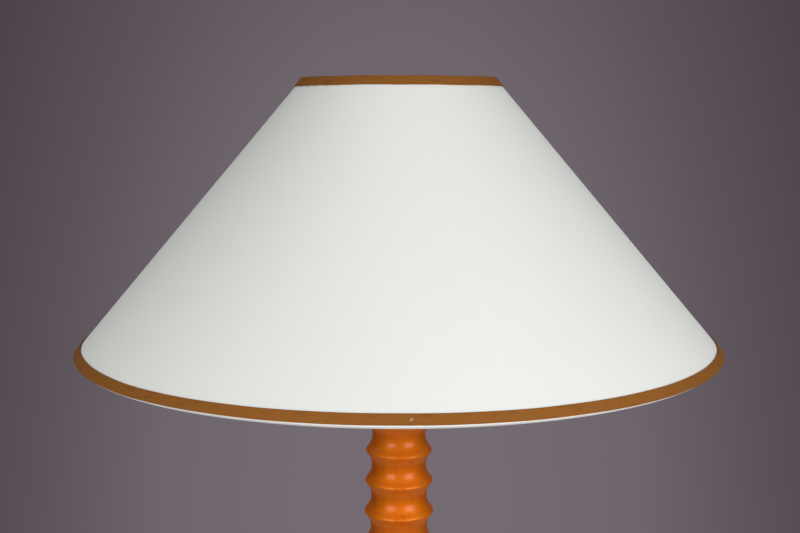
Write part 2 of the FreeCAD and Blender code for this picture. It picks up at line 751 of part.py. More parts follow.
def build_finial():
    """The turned knob that screws down on the harp's stud and holds the shade."""
    bore = stud_d / 2 + running_clearance
    bore_top = stud_top + finial_thread_room
    top = finial_bottom + finial_height
    ball_level = top - finial_ball_radius
    base_top = finial_bottom + finial_base_height
    ball_bottom = ball_level - math.sqrt(finial_ball_radius ** 2 - finial_waist_radius ** 2)
    knob = Outline(bore, finial_bottom)
    knob.line(finial_base_radius, finial_bottom)
    knob.bulge(finial_base_radius, base_top, finial_base_bulge)
    knob.line(finial_waist_radius, base_top)
    knob.bulge(finial_waist_radius, ball_bottom, -finial_waist_hollow)
    knob.round(0, top, (0, ball_level))
    knob.path((0, bore_top), (bore, bore_top))
    return {"finial": knob.turned()}


# ================================================================ socket and bulb
def build_socket():
    """The socket: cap, shell with its insulating sleeve, body, screw shell, contact and turn key."""
    rim_inner = shell_radius + shell_groove_gap
    rim_outer = rim_inner + socket_cap_wall
    hub_top_level = saddle_top + socket_hub_height
    cap = Outline(tube_fit, saddle_top)
    cap.path((socket_hub_radius, saddle_top), (socket_hub_radius, hub_top_level))
    cap.bulge(rim_outer, cap_rim_bottom, socket_cap_bulge)
    cap.path((rim_outer, cap_rim_top), (rim_inner, cap_rim_top), (rim_inner, cap_rim_bottom))
    cap.bulge(socket_hub_radius, hub_top_level + socket_cap_web, -socket_cap_bulge)
    cap.line(tube_fit, hub_top_level + socket_cap_web)

    inner = shell_radius - shell_wall
    lip_bottom = shell_top - shell_lip_height
    shell = Outline(inner, shell_bottom)
    shell.path((shell_radius, shell_bottom), (shell_radius, lip_bottom))
    shell.bulge(shell_radius, shell_top, shell_lip_bulge)
    shell.line(inner, shell_top)
    shell.bulge(inner, lip_bottom, -shell_lip_bulge)

    sleeve_outer = inner - running_clearance
    sleeve_inner = sleeve_outer - liner_wall
    sleeve = disc(sleeve_outer, shell_height - liner_top_gap, shell_bottom, sleeve_inner)

    flange_radius = sleeve_inner - body_clearance
    flange_bottom = body_top - body_flange_height
    body = Outline(0, body_bottom)
    body.path((body_radius, body_bottom), (body_radius, flange_bottom), (flange_radius, flange_bottom))
    body.path((flange_radius, body_top), (0, body_top))

    front = FreeCAD.Vector(0, -1, 0)
    neck_start = shell_radius + key_neck_stand_off
    shaft_start = body_radius - key_shaft_depth

    def frontways(radius, length, start):
        """A round bar along -Y at the key's level."""
        return Part.makeCylinder(radius, length, FreeCAD.Vector(0, -start, key_level), front)

    key_hole = frontways(key_neck_radius + key_hole_clearance, shell_radius + cut_past, 0)
    shaft_hole = frontways(key_shaft_radius + running_clearance, body_radius, shaft_start - running_clearance)
    paddle_start = neck_start + key_neck_length - key_neck_radius
    paddle_reach = key_neck_radius + key_paddle_length
    paddle_corner = FreeCAD.Vector(-key_paddle_width / 2, -paddle_start - paddle_reach,
                                   key_level - key_paddle_thickness / 2)
    paddle = Part.makeBox(key_paddle_width, paddle_reach, key_paddle_thickness, paddle_corner)
    upright = [edge for edge in paddle.Edges if abs(edge.tangentAt(edge.FirstParameter).z) > 0.99]
    paddle = paddle.makeFillet(key_paddle_corner, upright)
    key = joined([frontways(key_shaft_radius, neck_start - shaft_start, shaft_start),
                  frontways(key_neck_radius, key_neck_length, neck_start), paddle])

    terminals, terminal_holes = [], []
    for side in (-1, 1):
        outward, level = FreeCAD.Vector(side, 0, 0), body_bottom + terminal_level
        at_face = FreeCAD.Vector(side * body_radius, 0, level)
        root = at_face - outward * terminal_shank_length
        head = Part.makeCylinder(terminal_radius, terminal_height, at_face, outward)
        shank = Part.makeCylinder(terminal_shank_radius, terminal_shank_length, root, outward)
        terminals.append(head.fuse(shank))
        terminal_holes.append(Part.makeCylinder(terminal_shank_radius + running_clearance,
                                                terminal_shank_length, root, outward))

    shell_outer = bulb_base_d / 2 + running_clearance + screw_shell_wall
    return {
        "socket_cap": cap.turned(),
        "socket_shell": shell.turned().cut(key_hole),
        "socket_liner": sleeve.cut(key_hole),
        "socket_body": body.turned().cut([shaft_hole] + terminal_holes),
        "terminal_screws": Part.makeCompound(terminals),
        "screw_shell": disc(shell_outer, screw_shell_height, body_top, shell_outer - screw_shell_wall),
        "centre_contact": disc(contact_radius, contact_height, body_top),
        "switch_key": key,
    }


def globe_curve(outline, radius, wall, base, upward):
    """Draws the glass from its neck to its crown, or back down, wall inside the outer surface.

    The neck's curve starts upright and meets the round globe tangent, so its radius follows from the
    two radii and the distance between the neck's foot and the globe's middle.
    """
    rise = bulb_globe_height
    sweep = (rise ** 2 + bulb_neck_radius ** 2 - radius ** 2) / (2 * (radius - bulb_neck_radius))
    neck_centre = (bulb_neck_radius + sweep, base)
    middle = (0, base + rise)
    share = radius / (radius + sweep)
    inset = (radius - wall) / radius
    meet = (neck_centre[0] * share * inset, middle[1] - rise * share * inset)
    if upward:
        return outline.round(*meet, neck_centre).round(0, middle[1] + radius - wall, middle)
    return outline.round(*meet, middle).round(bulb_neck_radius - wall, base, neck_centre)


def build_bulb():
    """The bulb: contact tip, insulator, metal base and glass."""
    tip_bottom = contact_top + bulb_seat_gap
    insulator_bottom = tip_bottom + bulb_tip_height
    base_bottom = insulator_bottom + bulb_insulator_height
    base_top = base_bottom + bulb_base_height
    base_radius = bulb_base_d / 2
    shoulder = base_radius - bulb_insulator_height / 2
    insulator = Outline(0, insulator_bottom)
    insulator.path((bulb_tip_radius, insulator_bottom), (shoulder, base_bottom), (0, base_bottom))
    base = Outline(0, base_bottom)
    base.path((shoulder, base_bottom), (base_radius, base_bottom + bulb_insulator_height / 2))
    base.path((base_radius, base_top), (0, base_top))
    glass = Outline(bulb_neck_radius - bulb_glass, base_top).line(bulb_neck_radius, base_top)
    globe_curve(glass, bulb_globe_radius, 0, base_top, upward=True)
    glass.line(0, base_top + bulb_globe_height + bulb_globe_radius - bulb_glass)
    globe_curve(glass, bulb_globe_radius, bulb_glass, base_top, upward=False)
    return {
        "bulb_tip": disc(bulb_tip_radius, bulb_tip_height, tip_bottom),
        "bulb_insulator": insulator.turned(),
        "bulb_base": base.turned(),
        "bulb_globe": glass.turned(),
    }


# ================================================================ shade
def slant_place(from_bottom=False):
    """Placing function for outlines given as distance from the wall's edge and out from its inner face."""
    def place(u, t):
        s = shade_slant - u if from_bottom else u
        return FreeCAD.Vector(slant_radius(s, t), 0, shade_top_level - slant_drop(s, t))
    return place


def edge_ring(place):
    """The round wire inside the wall's edge."""
    centre = place(ring_inset, -ring_inset)
    return Part.makeTorus(centre.x, ring_wire_d / 2, FreeCAD.Vector(0, 0, centre.z))


def edge_tape(place, tape_inner):
    """White tape folded over the edge, from the cover's outer face round the ring to the liner."""
    outer = tape_inner + tape_thickness
    past_wire = ring_wire_d + 2 * glue_gap
    edge_outer, wire_outer, liner_outer = (face + tape_thickness for face in (glue_gap, past_wire, glue_gap))
    tape = Outline(tape_outside, tape_inner, place)
    tape.path((tape_outside, outer), (-edge_outer, outer), (-edge_outer, -wire_outer))
    tape.path((wire_outer, -wire_outer), (tape_inside, -liner_outer), (tape_inside, -glue_gap))
    tape.path((past_wire, -past_wire), (-glue_gap, -past_wire), (-glue_gap, tape_inner))
    return tape.turned()


def wall_layer(place, start, length, inner, thickness):
    """One layer of the shade's wall, from start to start + length along the slant."""
    layer = Outline(start, inner, place)
    layer.path((start, inner + thickness), (start + length, inner + thickness), (start + length, inner))
    return layer.turned()


def build_spider():
    """The shade's carrier: top ring, three bent arms and the hub that sits on the harp's flange."""
    centre = slant_place()(ring_inset, -ring_inset)
    slope = math.radians(spider_slope)
    bend_up = 2 * spider_bend_radius * (1 - math.cos(slope))
    slope_run = (centre.z - hub_middle - bend_up) / math.sin(slope)
    flat_run = (centre.x - spider_weld - spider_end_straight - slope_run * math.cos(slope)
                - 2 * spider_bend_radius * math.sin(slope) - spider_hub_radius / 2)
    arm = WirePath(spider_hub_radius / 2, hub_middle, 0)
    arm.straight(flat_run).turn(spider_bend_radius, spider_slope).straight(slope_run)
    arm.turn(spider_bend_radius, -spider_slope).straight(spider_end_straight)
    arms = turned_copies(arm.wire(ring_wire_d / 2), spider_arm_count, spider_first_angle)
    hub = disc(spider_hub_radius, spider_hub_thickness, hub_bottom)
    bore = Part.makeCylinder(stud_d / 2 + running_clearance, spider_hub_thickness,
                             FreeCAD.Vector(0, 0, hub_bottom))
    return joined([hub, edge_ring(slant_place())] + arms).cut(bore)


def build_shade():
    """The shade: spider, lower ring, stiff liner, cloth cover, binding tapes and the two trims."""
    top, bottom = slant_place(), slant_place(from_bottom=True)
    cover_inner = liner_thickness + glue_gap
    tape_inner = cover_inner + cover_thickness + glue_gap
    trim_inner = tape_inner + tape_thickness + glue_gap
    ring_level = top(ring_inset, -ring_inset).z
    notch_radius = ring_wire_d / 2 + spider_notch_clearance
    notches = turned_copies(Part.makeCylinder(notch_radius, shade_top_radius,
                                              FreeCAD.Vector(0, 0, ring_level), FreeCAD.Vector(1, 0, 0)),
                            spider_arm_count, spider_first_angle)
    return {
        "shade_spider": build_spider(),
        "shade_lower_ring": edge_ring(bottom),
        "shade_liner": wall_layer(top, 0, shade_slant, 0, liner_thickness),
        "shade_cover": wall_layer(top, 0, shade_slant, cover_inner, cover_thickness),
        "upper_tape": edge_tape(top, tape_inner).cut(notches),
        "lower_tape": edge_tape(bottom, tape_inner),
        "upper_trim": wall_layer(top, -tape_thickness, trim_width, trim_inner, trim_thickness),
        "lower_trim": wall_layer(bottom, trim_reveal, trim_width, trim_inner, trim_thickness),
    }


# ================================================================ assembly
def main():
    """Builds every piece and writes each one to its own file."""
    os.makedirs("parts", exist_ok=True)
    builders = (build_foot, build_bell, build_shaft, build_capital, build_harp, build_finial,
                build_socket, build_bulb, build_shade)
    for builder in builders:
        for name, shape in builder().items():
            shape.exportStep(os.path.join("parts", name + ".step"))
            print(f"{name:18s} {len(shape.Solids)} solid(s), {shape.Volume / 1000:9.2f} cm3")


main()
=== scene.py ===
"""The finished look of a candlestick floor lamp: lacquered turned wood, brass, and a cloth shade.

Every surface is worked out in metres in the lamp's own frame: Z is the lamp's axis, the origin is on
the floor, the front is -Y and the cord inlet is at the back. Levels and outer sizes come from the
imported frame, and the profiles between them from the sizes named in each class.
"""
from __future__ import annotations

import json
import logging
import math
import sys
from dataclasses import dataclass
from enum import Enum
from typing import Any, Callable, Sequence

import bpy
import numpy as np
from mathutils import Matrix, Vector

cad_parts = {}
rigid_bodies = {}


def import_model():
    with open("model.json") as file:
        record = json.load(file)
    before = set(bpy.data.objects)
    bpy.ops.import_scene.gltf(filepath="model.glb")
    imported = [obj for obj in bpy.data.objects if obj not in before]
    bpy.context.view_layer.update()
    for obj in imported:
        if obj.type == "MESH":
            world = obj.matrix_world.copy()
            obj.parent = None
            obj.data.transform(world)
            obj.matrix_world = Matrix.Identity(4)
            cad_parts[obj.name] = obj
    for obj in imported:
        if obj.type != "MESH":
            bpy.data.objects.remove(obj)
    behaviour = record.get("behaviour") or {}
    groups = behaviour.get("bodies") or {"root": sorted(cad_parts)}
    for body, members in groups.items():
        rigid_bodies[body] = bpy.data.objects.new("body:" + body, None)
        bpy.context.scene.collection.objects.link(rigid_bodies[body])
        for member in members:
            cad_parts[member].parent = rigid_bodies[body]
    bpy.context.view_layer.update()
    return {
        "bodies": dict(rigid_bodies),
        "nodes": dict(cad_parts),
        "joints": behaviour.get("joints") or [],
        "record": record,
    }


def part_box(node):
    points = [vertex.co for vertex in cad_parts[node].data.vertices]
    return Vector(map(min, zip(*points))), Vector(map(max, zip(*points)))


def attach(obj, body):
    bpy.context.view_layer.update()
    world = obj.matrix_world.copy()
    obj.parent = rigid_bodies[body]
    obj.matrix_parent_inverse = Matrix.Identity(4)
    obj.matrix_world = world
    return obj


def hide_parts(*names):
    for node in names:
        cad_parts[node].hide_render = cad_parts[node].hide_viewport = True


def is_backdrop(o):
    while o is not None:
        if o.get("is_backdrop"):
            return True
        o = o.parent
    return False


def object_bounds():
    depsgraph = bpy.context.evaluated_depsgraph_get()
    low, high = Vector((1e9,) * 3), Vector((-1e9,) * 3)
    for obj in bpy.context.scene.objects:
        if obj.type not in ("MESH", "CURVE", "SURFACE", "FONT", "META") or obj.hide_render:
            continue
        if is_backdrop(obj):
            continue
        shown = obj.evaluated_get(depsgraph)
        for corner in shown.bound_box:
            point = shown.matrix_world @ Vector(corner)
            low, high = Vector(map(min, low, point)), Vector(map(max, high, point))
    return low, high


log = logging.getLogger("lamp")

Array = np.ndarray
Colour = tuple[float, float, float]
Out = bpy.types.NodeSocket      # an output of a node
Piece = bpy.types.Object
Material = bpy.types.Material
FULL_TURN = 2.0 * math.pi
FRONT = -math.pi / 2.0          # azimuth of the lamp's front, from +X
BACK = math.pi / 2.0
TINY = 1e-9
WIRE_DOME = np.array([0.0, 0.7, 0.94])  # radii of the rings in a wire's domed end, over the wire's own
RELIEF_STEP = 0.0005
RELIEF_RANGE = 0.006            # from the deepest hollow to the highest crest that are told apart


class Body(Enum):
    """The bodies of the frame that pieces ride on."""

    ROOT = "root"
    SHADE = "shade"
    FINIAL = "finial"
    SWITCH_KEY = "switch_key"
    BULB = "bulb"
    SLEEVE_LEFT = "sleeve_left"
    SLEEVE_RIGHT = "sleeve_right"


class Slot(Enum):
    """The finishes of the record."""

    WOOD = "turned_wood"
    IRON = "ballast_iron"
    SCREW = "screw_steel"
    STEEL = "plain_steel"
    BOARD = "base_board"
    FELT = "base_felt"
    BUSHING = "black_bushing"
    BRASS = "lamp_brass"
    FIBRE = "fibre_sleeve"
    BODY = "socket_phenolic"
    KEY = "key_phenolic"
    SOLDER = "solder_tip"
    INSULATOR = "bulb_insulator"
    BULB_METAL = "bulb_metal"
    GLASS = "bulb_glass"
    WIRE = "white_wire"
    LINING = "shade_lining"
    CLOTH = "shade_cloth"
    TAPE = "binding_tape"
    TRIM = "trim_leather"


# ---- curves
def lengths_along(run: Array) -> Array:
    """How far each point of a run lies from its start, along it: the running sum of its steps."""
    return np.append(0.0, np.cumsum(np.linalg.norm(np.diff(run, axis=0), axis=1)))


def cut_ends(run: Array, start: float, end: float) -> Array:
    """Shortens a run at both ends and adds a holding point a like distance further in.

    The new points lie on the run, at those distances along it, so that a flat beside an eased corner
    stays flat under smooth shading.

    Args:
        run: Points, one a row.
        start: Length to take off the start.
        end: Length to take off the end.

    Returns:
        The shorter run.
    """
    along = lengths_along(run)
    total = along[-1]
    inner = along[(along > start + TINY) & (along < total - end - TINY)]
    holds = [2 * start] if start > 0 else []
    holds += [total - 2 * end] if end > 0 else []
    at = np.unique(np.concatenate([[start], inner, holds, [total - end]]))
    at = at[(at >= start) & (at <= total - end)]
    return np.stack([np.interp(at, along, run[:, k]) for k in range(run.shape[1])], axis=1)


class Profile:
    """A turner's half section, drawn as (radius, height) from point to point and then sampled.

    Where two stretches meet at an angle, the corner is eased: a small quadratic curve with its handle on
    the corner replaces it.
    """

    CORNER_COSINE = math.cos(math.radians(12.0))
    EASE_SHARE = 0.24           # of the shorter stretch beside a corner, at most
    EASE_STEPS = 5

    def __init__(self, r: float, z: float, ease: float = 0.0005) -> None:
        """Starts the section at (r, z), with corners eased over that length."""
        self.start = (r, z)
        self.here = np.array([r, z], float)
        self.ease = ease
        self.runs: list[Array] = []

    def _add(self, run: Array) -> "Profile":
        """Adds a sampled stretch that starts where the last one ended."""
        self.runs.append(run)
        self.here = run[-1]
        return self

    def line(self, *points: tuple[float, float]) -> "Profile":
        """Draws straight lines through the points."""
        for point in points:
            self._add(np.array([self.here, point], float))
        return self

    def bulge(self, r: float, z: float, height: float, steps: int = 14) -> "Profile":
        """Draws a circular arc to (r, z) whose middle stands off the chord.

        With half chord c and height h, the radius is (c^2 + h^2) / 2h, and the arc is swept evenly by its
        own angle.

        Args:
            r: Radius at the end.
            z: Level at the end.
            height: Rise of the arc to the right of the chord, seen along it.
            steps: Number of segments.

        Returns:
            The profile itself.
        """
        end = np.array([r, z], float)
        chord = end - self.here
        half = np.linalg.norm(chord) / 2
        along, right = chord / (2 * half), np.array([chord[1], -chord[0]]) / (2 * half)
        radius = (half ** 2 + height ** 2) / (2 * abs(height))
        sweep = 2 * math.atan2(abs(height), half)
        turn = np.linspace(-sweep, sweep, steps + 1)[:, None]
        rise = math.copysign(1.0, height) * (radius * np.cos(turn) - radius + abs(height))
        return self._add((self.here + end) / 2 + radius * np.sin(turn) * along + rise * right)

    def half_bend(self, r: float, z: float, upright_first: bool, steps: int = 10) -> "Profile":
        """Draws an arc to (r, z) that runs upright at its start, or else at its end.

        The arc's centre is level with the upright end, so its radius is (dx^2 + dz^2) / 2dx.

        Args:
            r: Radius at the end.
            z: Level at the end.
            upright_first: Whether it runs upright at its start.
            steps: Number of segments.

        Returns:
            The profile itself.
        """
        end, start = np.array([r, z], float), self.here
        first, last = (start, end) if upright_first else (end, start)
        across, up = last - first
        radius = (across ** 2 + up ** 2) / (2 * abs(across))
        turn = np.linspace(0.0, math.asin(min(1.0, abs(up) / radius)), steps + 1)
        run = np.stack([first[0] + math.copysign(1, across) * radius * (1 - np.cos(turn)),
                        first[1] + math.copysign(1, up) * radius * np.sin(turn)], axis=1)
        return self._add(run if upright_first else run[::-1])

    def round(self, r: float, z: float, centre: tuple[float, float], steps: int = 24) -> "Profile":
        """Draws the shorter arc to (r, z) about centre, by even steps of its angle.

        Args:
            r: Radius at the end.
            z: Level at the end.
            centre: Radius and level of the centre.
            steps: Number of segments.

        Returns:
            The profile itself.
        """
        middle = np.array(centre, float)
        spokes = np.array([self.here - middle, (r - centre[0], z - centre[1])])
        first, last = np.arctan2(spokes[:, 1], spokes[:, 0])
        sweep = (last - first + math.pi) % FULL_TURN - math.pi
        turn = first + np.linspace(0.0, sweep, steps + 1)
        return self._add(middle + np.linalg.norm(spokes[0]) * np.stack([np.cos(turn), np.sin(turn)], axis=1))

    def wave(self, r: float, z: float, start_pull: float, end_pull: float, steps: int = 16) -> "Profile":
        """Draws an S to (r, z): a cubic curve that runs upright at both ends.

        Its handles are those shares of the stretch's height.

        Args:
            r: Radius at the end.
            z: Level at the end.
            start_pull: Length of the first handle.
            end_pull: Length of the last handle.
            steps: Number of segments.

        Returns:
            The profile itself.
        """
        r0, z0 = self.here
        poles = np.array([(r0, z0), (r0, z0 + (z - z0) * start_pull), (r, z - (z - z0) * end_pull), (r, z)])
        t = np.linspace(0.0, 1.0, steps + 1)[:, None]
        weights = np.hstack([(1 - t) ** 3, 3 * t * (1 - t) ** 2, 3 * t ** 2 * (1 - t), t ** 3])
        return self._add(weights @ poles)

    def outline(self) -> Array:
        """Joins the stretches, easing each sharp corner.

        Returns:
            (n, 2) radii and levels from the start to the end.
        """
        reach = [0.0]
        for before, after in zip(self.runs, self.runs[1:]):
            a, b = before[-1] - before[-2], after[1] - after[0]
            sharp = a @ b < self.CORNER_COSINE * np.linalg.norm(a) * np.linalg.norm(b)
            room = self.EASE_SHARE * min(lengths_along(before)[-1], lengths_along(after)[-1])
            reach.append(min(self.ease, room) if sharp else 0.0)
        reach.append(0.0)
        eased = [cut_ends(run, reach[i], reach[i + 1]) for i, run in enumerate(self.runs)]
        parts = [eased[0]]
        t = np.linspace(0.0, 1.0, self.EASE_STEPS + 1)[1:-1, None]
        for i, run in enumerate(eased[1:]):
            if reach[i + 1] > 0:
                corner = self.runs[i][-1]
                parts.append((1 - t) ** 2 * eased[i][-1] + 2 * t * (1 - t) * corner + t ** 2 * run[0])
                parts.append(run)
            else:
                parts.append(run[1:])
        return np.concatenate(parts)

    def loop(self) -> Array:
        """The outline, closed by a straight line to its start, which isn't given twice."""
        return self.line(self.start).outline()[:-1]


class BentWire:
    """The middle line of a bent wire in the XZ plane: straight stretches joined by tangent arcs."""

    STEP = math.radians(5.0)    # turn between two points of an arc

    def __init__(self, x: float, z: float, heading: float) -> None:
        """Starts at (x, z), heading that many degrees up from +X."""
        self.points = [np.array([[x, z]], float)]
        self.heading = math.radians(heading)

    def straight(self, length: float) -> "BentWire":
        """Goes straight on for that length."""
        way = np.array([math.cos(self.heading), math.sin(self.heading)])
        self.points.append(self.points[-1][-1:] + np.array([[0.5], [1.0]]) * length * way)
        return self

    def turn(self, radius: float, degrees: float) -> "BentWire":
        """Bends left by that many degrees, or right where it is negative.

        The points lie about a centre that stands square to the heading.

        Args:
            radius: Radius of the bend.
            degrees: Its turn, negative to the right.

        Returns:
            The wire itself.
        """
        side, sweep = math.copysign(1.0, degrees), math.radians(degrees)
        count = max(2, math.ceil(abs(sweep) / self.STEP))
        turn = self.heading + np.linspace(0.0, sweep, count + 1)[1:]
        start = self.points[-1][-1]
        centre = start + side * radius * np.array([-math.sin(self.heading), math.cos(self.heading)])
        self.points.append(centre + side * radius * np.stack([np.sin(turn), -np.cos(turn)], axis=1))
        self.heading += sweep
        return self

    def line(self) -> Array:
        """The points, (n, 3), in the plane y = 0."""
        flat = np.concatenate(self.points)
        return np.stack([flat[:, 0], np.zeros(len(flat)), flat[:, 1]], axis=1)


# ---- surfaces
def smooth_step(value: Array | float) -> Array:
    """The usual S from 0 to 1: 3t^2 - 2t^3, held at its ends."""
    t = np.clip(value, 0.0, 1.0)
    return t * t * (3.0 - 2.0 * t)


def angles_round(count: int) -> Array:
    """That many evenly spaced angles, once round."""
    return np.linspace(0.0, FULL_TURN, count, endpoint=False)


def about_z(r: Array | float, angle: Array, z: Array | float) -> Array:
    """Points at radius r and level z, that angle round Z: x = r cos a, y = r sin a."""
    return np.stack(np.broadcast_arrays(r * np.cos(angle), r * np.sin(angle), z), axis=-1)


def turned(outline: Array, sides: int) -> Array:
    """Turns a section of (n, 2) radii and levels about Z into (n, sides, 3) points."""
    return about_z(outline[:, :1], angles_round(sides), outline[:, 1:])


def squarish(value: Array, power: float | Array) -> Array:
    """Raises a sine or cosine to a power and keeps its sign, which squares a round section's corners."""
    return np.sign(value) * np.abs(value) ** power


def screw_groove(z: Array, angle: Array, pitch: float) -> Array:
    """Depth of a round thread, 0 on its crest to 1: a cosine of the height less the share of a turn."""
    return 0.5 - 0.5 * np.cos(FULL_TURN * z / pitch - angle)


def turned_about_z(points: Array, angle: float) -> Array:
    """Turns points about Z by that angle, in radians."""
    c, s = math.cos(angle), math.sin(angle)
    return points @ np.array([[c, s, 0.0], [-s, c, 0.0], [0.0, 0.0, 1.0]])


def laid_along_y(points: Array, y: float, z: float) -> Array:
    """Lays what was turned about Z along the line through (0, y, z) that runs towards +Y."""
    return np.stack([-points[..., 0], points[..., 2] + y, points[..., 1] + z], axis=-1)


def tube(path: Array, radius: float, sides: int) -> Array:
    """Carries a round section along a path in the plane y = 0, and domes both its ends.

    Each ring is spanned by Y and by the path's normal, Y x tangent. In a dome, a ring of radius share d lies
    1 - sqrt(1 - d^2) radii in from the end.

    Args:
        path: (n, 3) points.
        radius: Radius of the wire.
        sides: Number of points round it.

    Returns:
        (rows, sides, 3) points.
    """
    tangent = np.gradient(path, axis=0)
    tangent /= np.linalg.norm(tangent, axis=1, keepdims=True)
    inset = (1 - np.sqrt(1 - WIRE_DOME ** 2))[:, None] * radius
    radii = radius * np.concatenate([WIRE_DOME, np.ones(len(path) - 2), WIRE_DOME[::-1]])
    path = np.concatenate([path[0] + inset * tangent[0], path[1:-1], (path[-1] - inset * tangent[-1])[::-1]])
    tangent = np.pad(tangent, ((len(WIRE_DOME) - 1,) * 2, (0, 0)), mode="edge")
    across = np.array([0.0, 1.0, 0.0])
    a = angles_round(sides)[None, :, None]
    return path[:, None] + radii[:, None, None] * (np.cos(a) * np.cross(across, tangent)[:, None] + np.sin(a) * across)


def relief(outline: Array, window: float) -> Array:
    """How far each point of a section stands out of its surroundings, from 0 in a hollow to 1 on a crest.

    The radius is compared with its own average over that length of the outline.

    Args:
        outline: (n, 2) radii and levels.
        window: Length of the average.

    Returns:
        One value a point, 0.5 where the outline is straight.
    """
    along = lengths_along(outline)
    even = np.linspace(0.0, along[-1], max(16, int(along[-1] / RELIEF_STEP)))
    radius = np.interp(even, along, outline[:, 0])
    width = max(1, int(window / (even[1] - even[0])))
    total = np.append(0.0, np.cumsum(np.pad(radius, width, mode="edge")))
    average = (total[2 * width:] - total[:-2 * width]) / (2 * width)
    stand = np.interp(along, even, radius - average[:len(even)])
    return np.clip(0.5 + stand / RELIEF_RANGE, 0.0, 1.0)


class Skin:
    """Collects grids of points into one closed mesh, with its UV map and its crest attribute."""

    def __init__(self) -> None:
        """Starts with no points."""
        self.places: list[Array] = []
        self.quads: list[Array] = []
        self.maps: list[Array] = []
        self.crests: list[Array] = []
        self.count = 0

    def grid(self, points: Array, closed_rows: bool = False, flat_map: Array | None = None,
             crest: Array | None = None) -> "Skin":
        """Adds a grid whose last column joins its first.

        Its faces point to columns x rows, which is outwards for an outline drawn upwards. A row that shrinks to
        one point becomes a pole.

        Args:
            points: (rows, columns, 3) places.
            closed_rows: Whether the last row joins the first.
            flat_map: UV of the grid, with one more column, and one more row where the rows are closed.
            crest: One value a row.

        Returns:
            The skin itself.
        """
        rows, columns = points.shape[:2]
        index = self.count + np.arange(rows * columns).reshape(rows, columns)
        pole = np.ptp(points, axis=1).max(axis=-1) < TINY
        index[pole] = index[pole][:, :1]
        below, above = (index, np.roll(index, -1, 0)) if closed_rows else (index[:-1], index[1:])
        quads = np.stack([below, np.roll(below, -1, 1), np.roll(above, -1, 1), above], axis=-1)
        if flat_map is None:
            flat_map = np.zeros((quads.shape[0] + 1, quads.shape[1] + 1, 2))
        corners = [flat_map[:-1, :-1], flat_map[:-1, 1:], flat_map[1:, 1:], flat_map[1:, :-1]]
        self.places.append(points.reshape(-1, 3))
        self.quads.append(quads.reshape(-1, 4))
        self.maps.append(np.stack(corners, axis=2).reshape(-1, 4, 2))
        self.crests.append(np.repeat(np.full(rows, 0.5) if crest is None else crest, columns))
        self.count += rows * columns
        return self

    def build(self, name: str) -> Piece:
        """Makes the mesh: quads that lost a corner at a pole become triangles.

        Args:
            name: The piece's name.

        Returns:
            The object, at the origin.
        """
        used, quads = np.unique(np.concatenate(self.quads), return_inverse=True)
        quads, maps = quads.reshape(-1, 4), np.concatenate(self.maps)
        real = quads != np.roll(quads, -1, axis=1)
        whole, three = real.all(axis=1), real.sum(axis=1) == 3
        triangles = quads[three][real[three]].reshape(-1, 3)
        mesh = bpy.data.meshes.new(name)
        mesh.from_pydata(np.concatenate(self.places)[used].tolist(), [], quads[whole].tolist() + triangles.tolist())
        corner_map = np.concatenate([maps[whole].reshape(-1, 2), maps[three][real[three]]])
        mesh.uv_layers.new(name="flat").data.foreach_set("uv", corner_map.astype(np.float32).ravel())
        crest = mesh.attributes.new("crest", "FLOAT", "POINT")
        crest.data.foreach_set("value", np.concatenate(self.crests)[used].astype(np.float32))
        mesh.polygons.foreach_set("use_smooth", np.ones(len(mesh.polygons), bool))
        mesh.update()
        piece = bpy.data.objects.new(name, mesh)
        bpy.context.scene.collection.objects.link(piece)
        return piece


def turned_piece(name: str, profile: Profile, sides: int = 128, closed: bool = True,
                 crest_window: float = 0.012) -> Piece:
    """A piece turned about the lamp's axis.

    Args:
        name: The piece's name.
        profile: Its section, drawn upwards on the outside.
        sides: Number of points round it.
        closed: Whether the section closes on itself, as round a bore, and isn't open at the axis.
        crest_window: Length over which crests and hollows are told apart.

    Returns:
        The object.
    """
    outline = profile.loop() if closed else profile.outline()
    crest = relief(outline, crest_window)
    return Skin().grid(turned(outline, sides), closed_rows=closed, crest=crest).build(name)


def bored(piece: Piece, radius: float, start: Sequence[float], end: Sequence[float]) -> None:
    """Cuts a round hole through a piece, from start to end, and applies the cut.

    Args:
        piece: The piece, changed in place.
        radius: The hole's radius.
        start: Middle of the cutter's one end.
        end: Middle of its other end.
    """
    a, b = np.array(start, float), np.array(end, float)
    axis = (b - a) / np.linalg.norm(b - a)
    side = np.cross(axis, [0.0, 0.0, 1.0])
    up = np.cross(side, axis)
    turn = angles_round(64)[:, None]
    ring = radius * (np.cos(turn) * side + np.sin(turn) * up)
    rows = np.stack([a + 0 * ring, a + ring, b + ring, b + 0 * ring])
    cutter = Skin().grid(rows).build("cutter")
    cut = piece.modifiers.new("bore", "BOOLEAN")
    cut.object, cut.operation, cut.solver = cutter, "DIFFERENCE", "EXACT"
    fresh = bpy.data.meshes.new_from_object(piece.evaluated_get(bpy.context.evaluated_depsgraph_get()))
    piece.modifiers.clear()
    old, piece.data = piece.data, fresh
    fresh.name = piece.name
    bpy.data.meshes.remove(old)
    bpy.data.objects.remove(cutter)


# ---- finishes
class Coordinates(Enum):
    """What a pattern follows."""

    OBJECT = "Object"
    MAP = "UV"


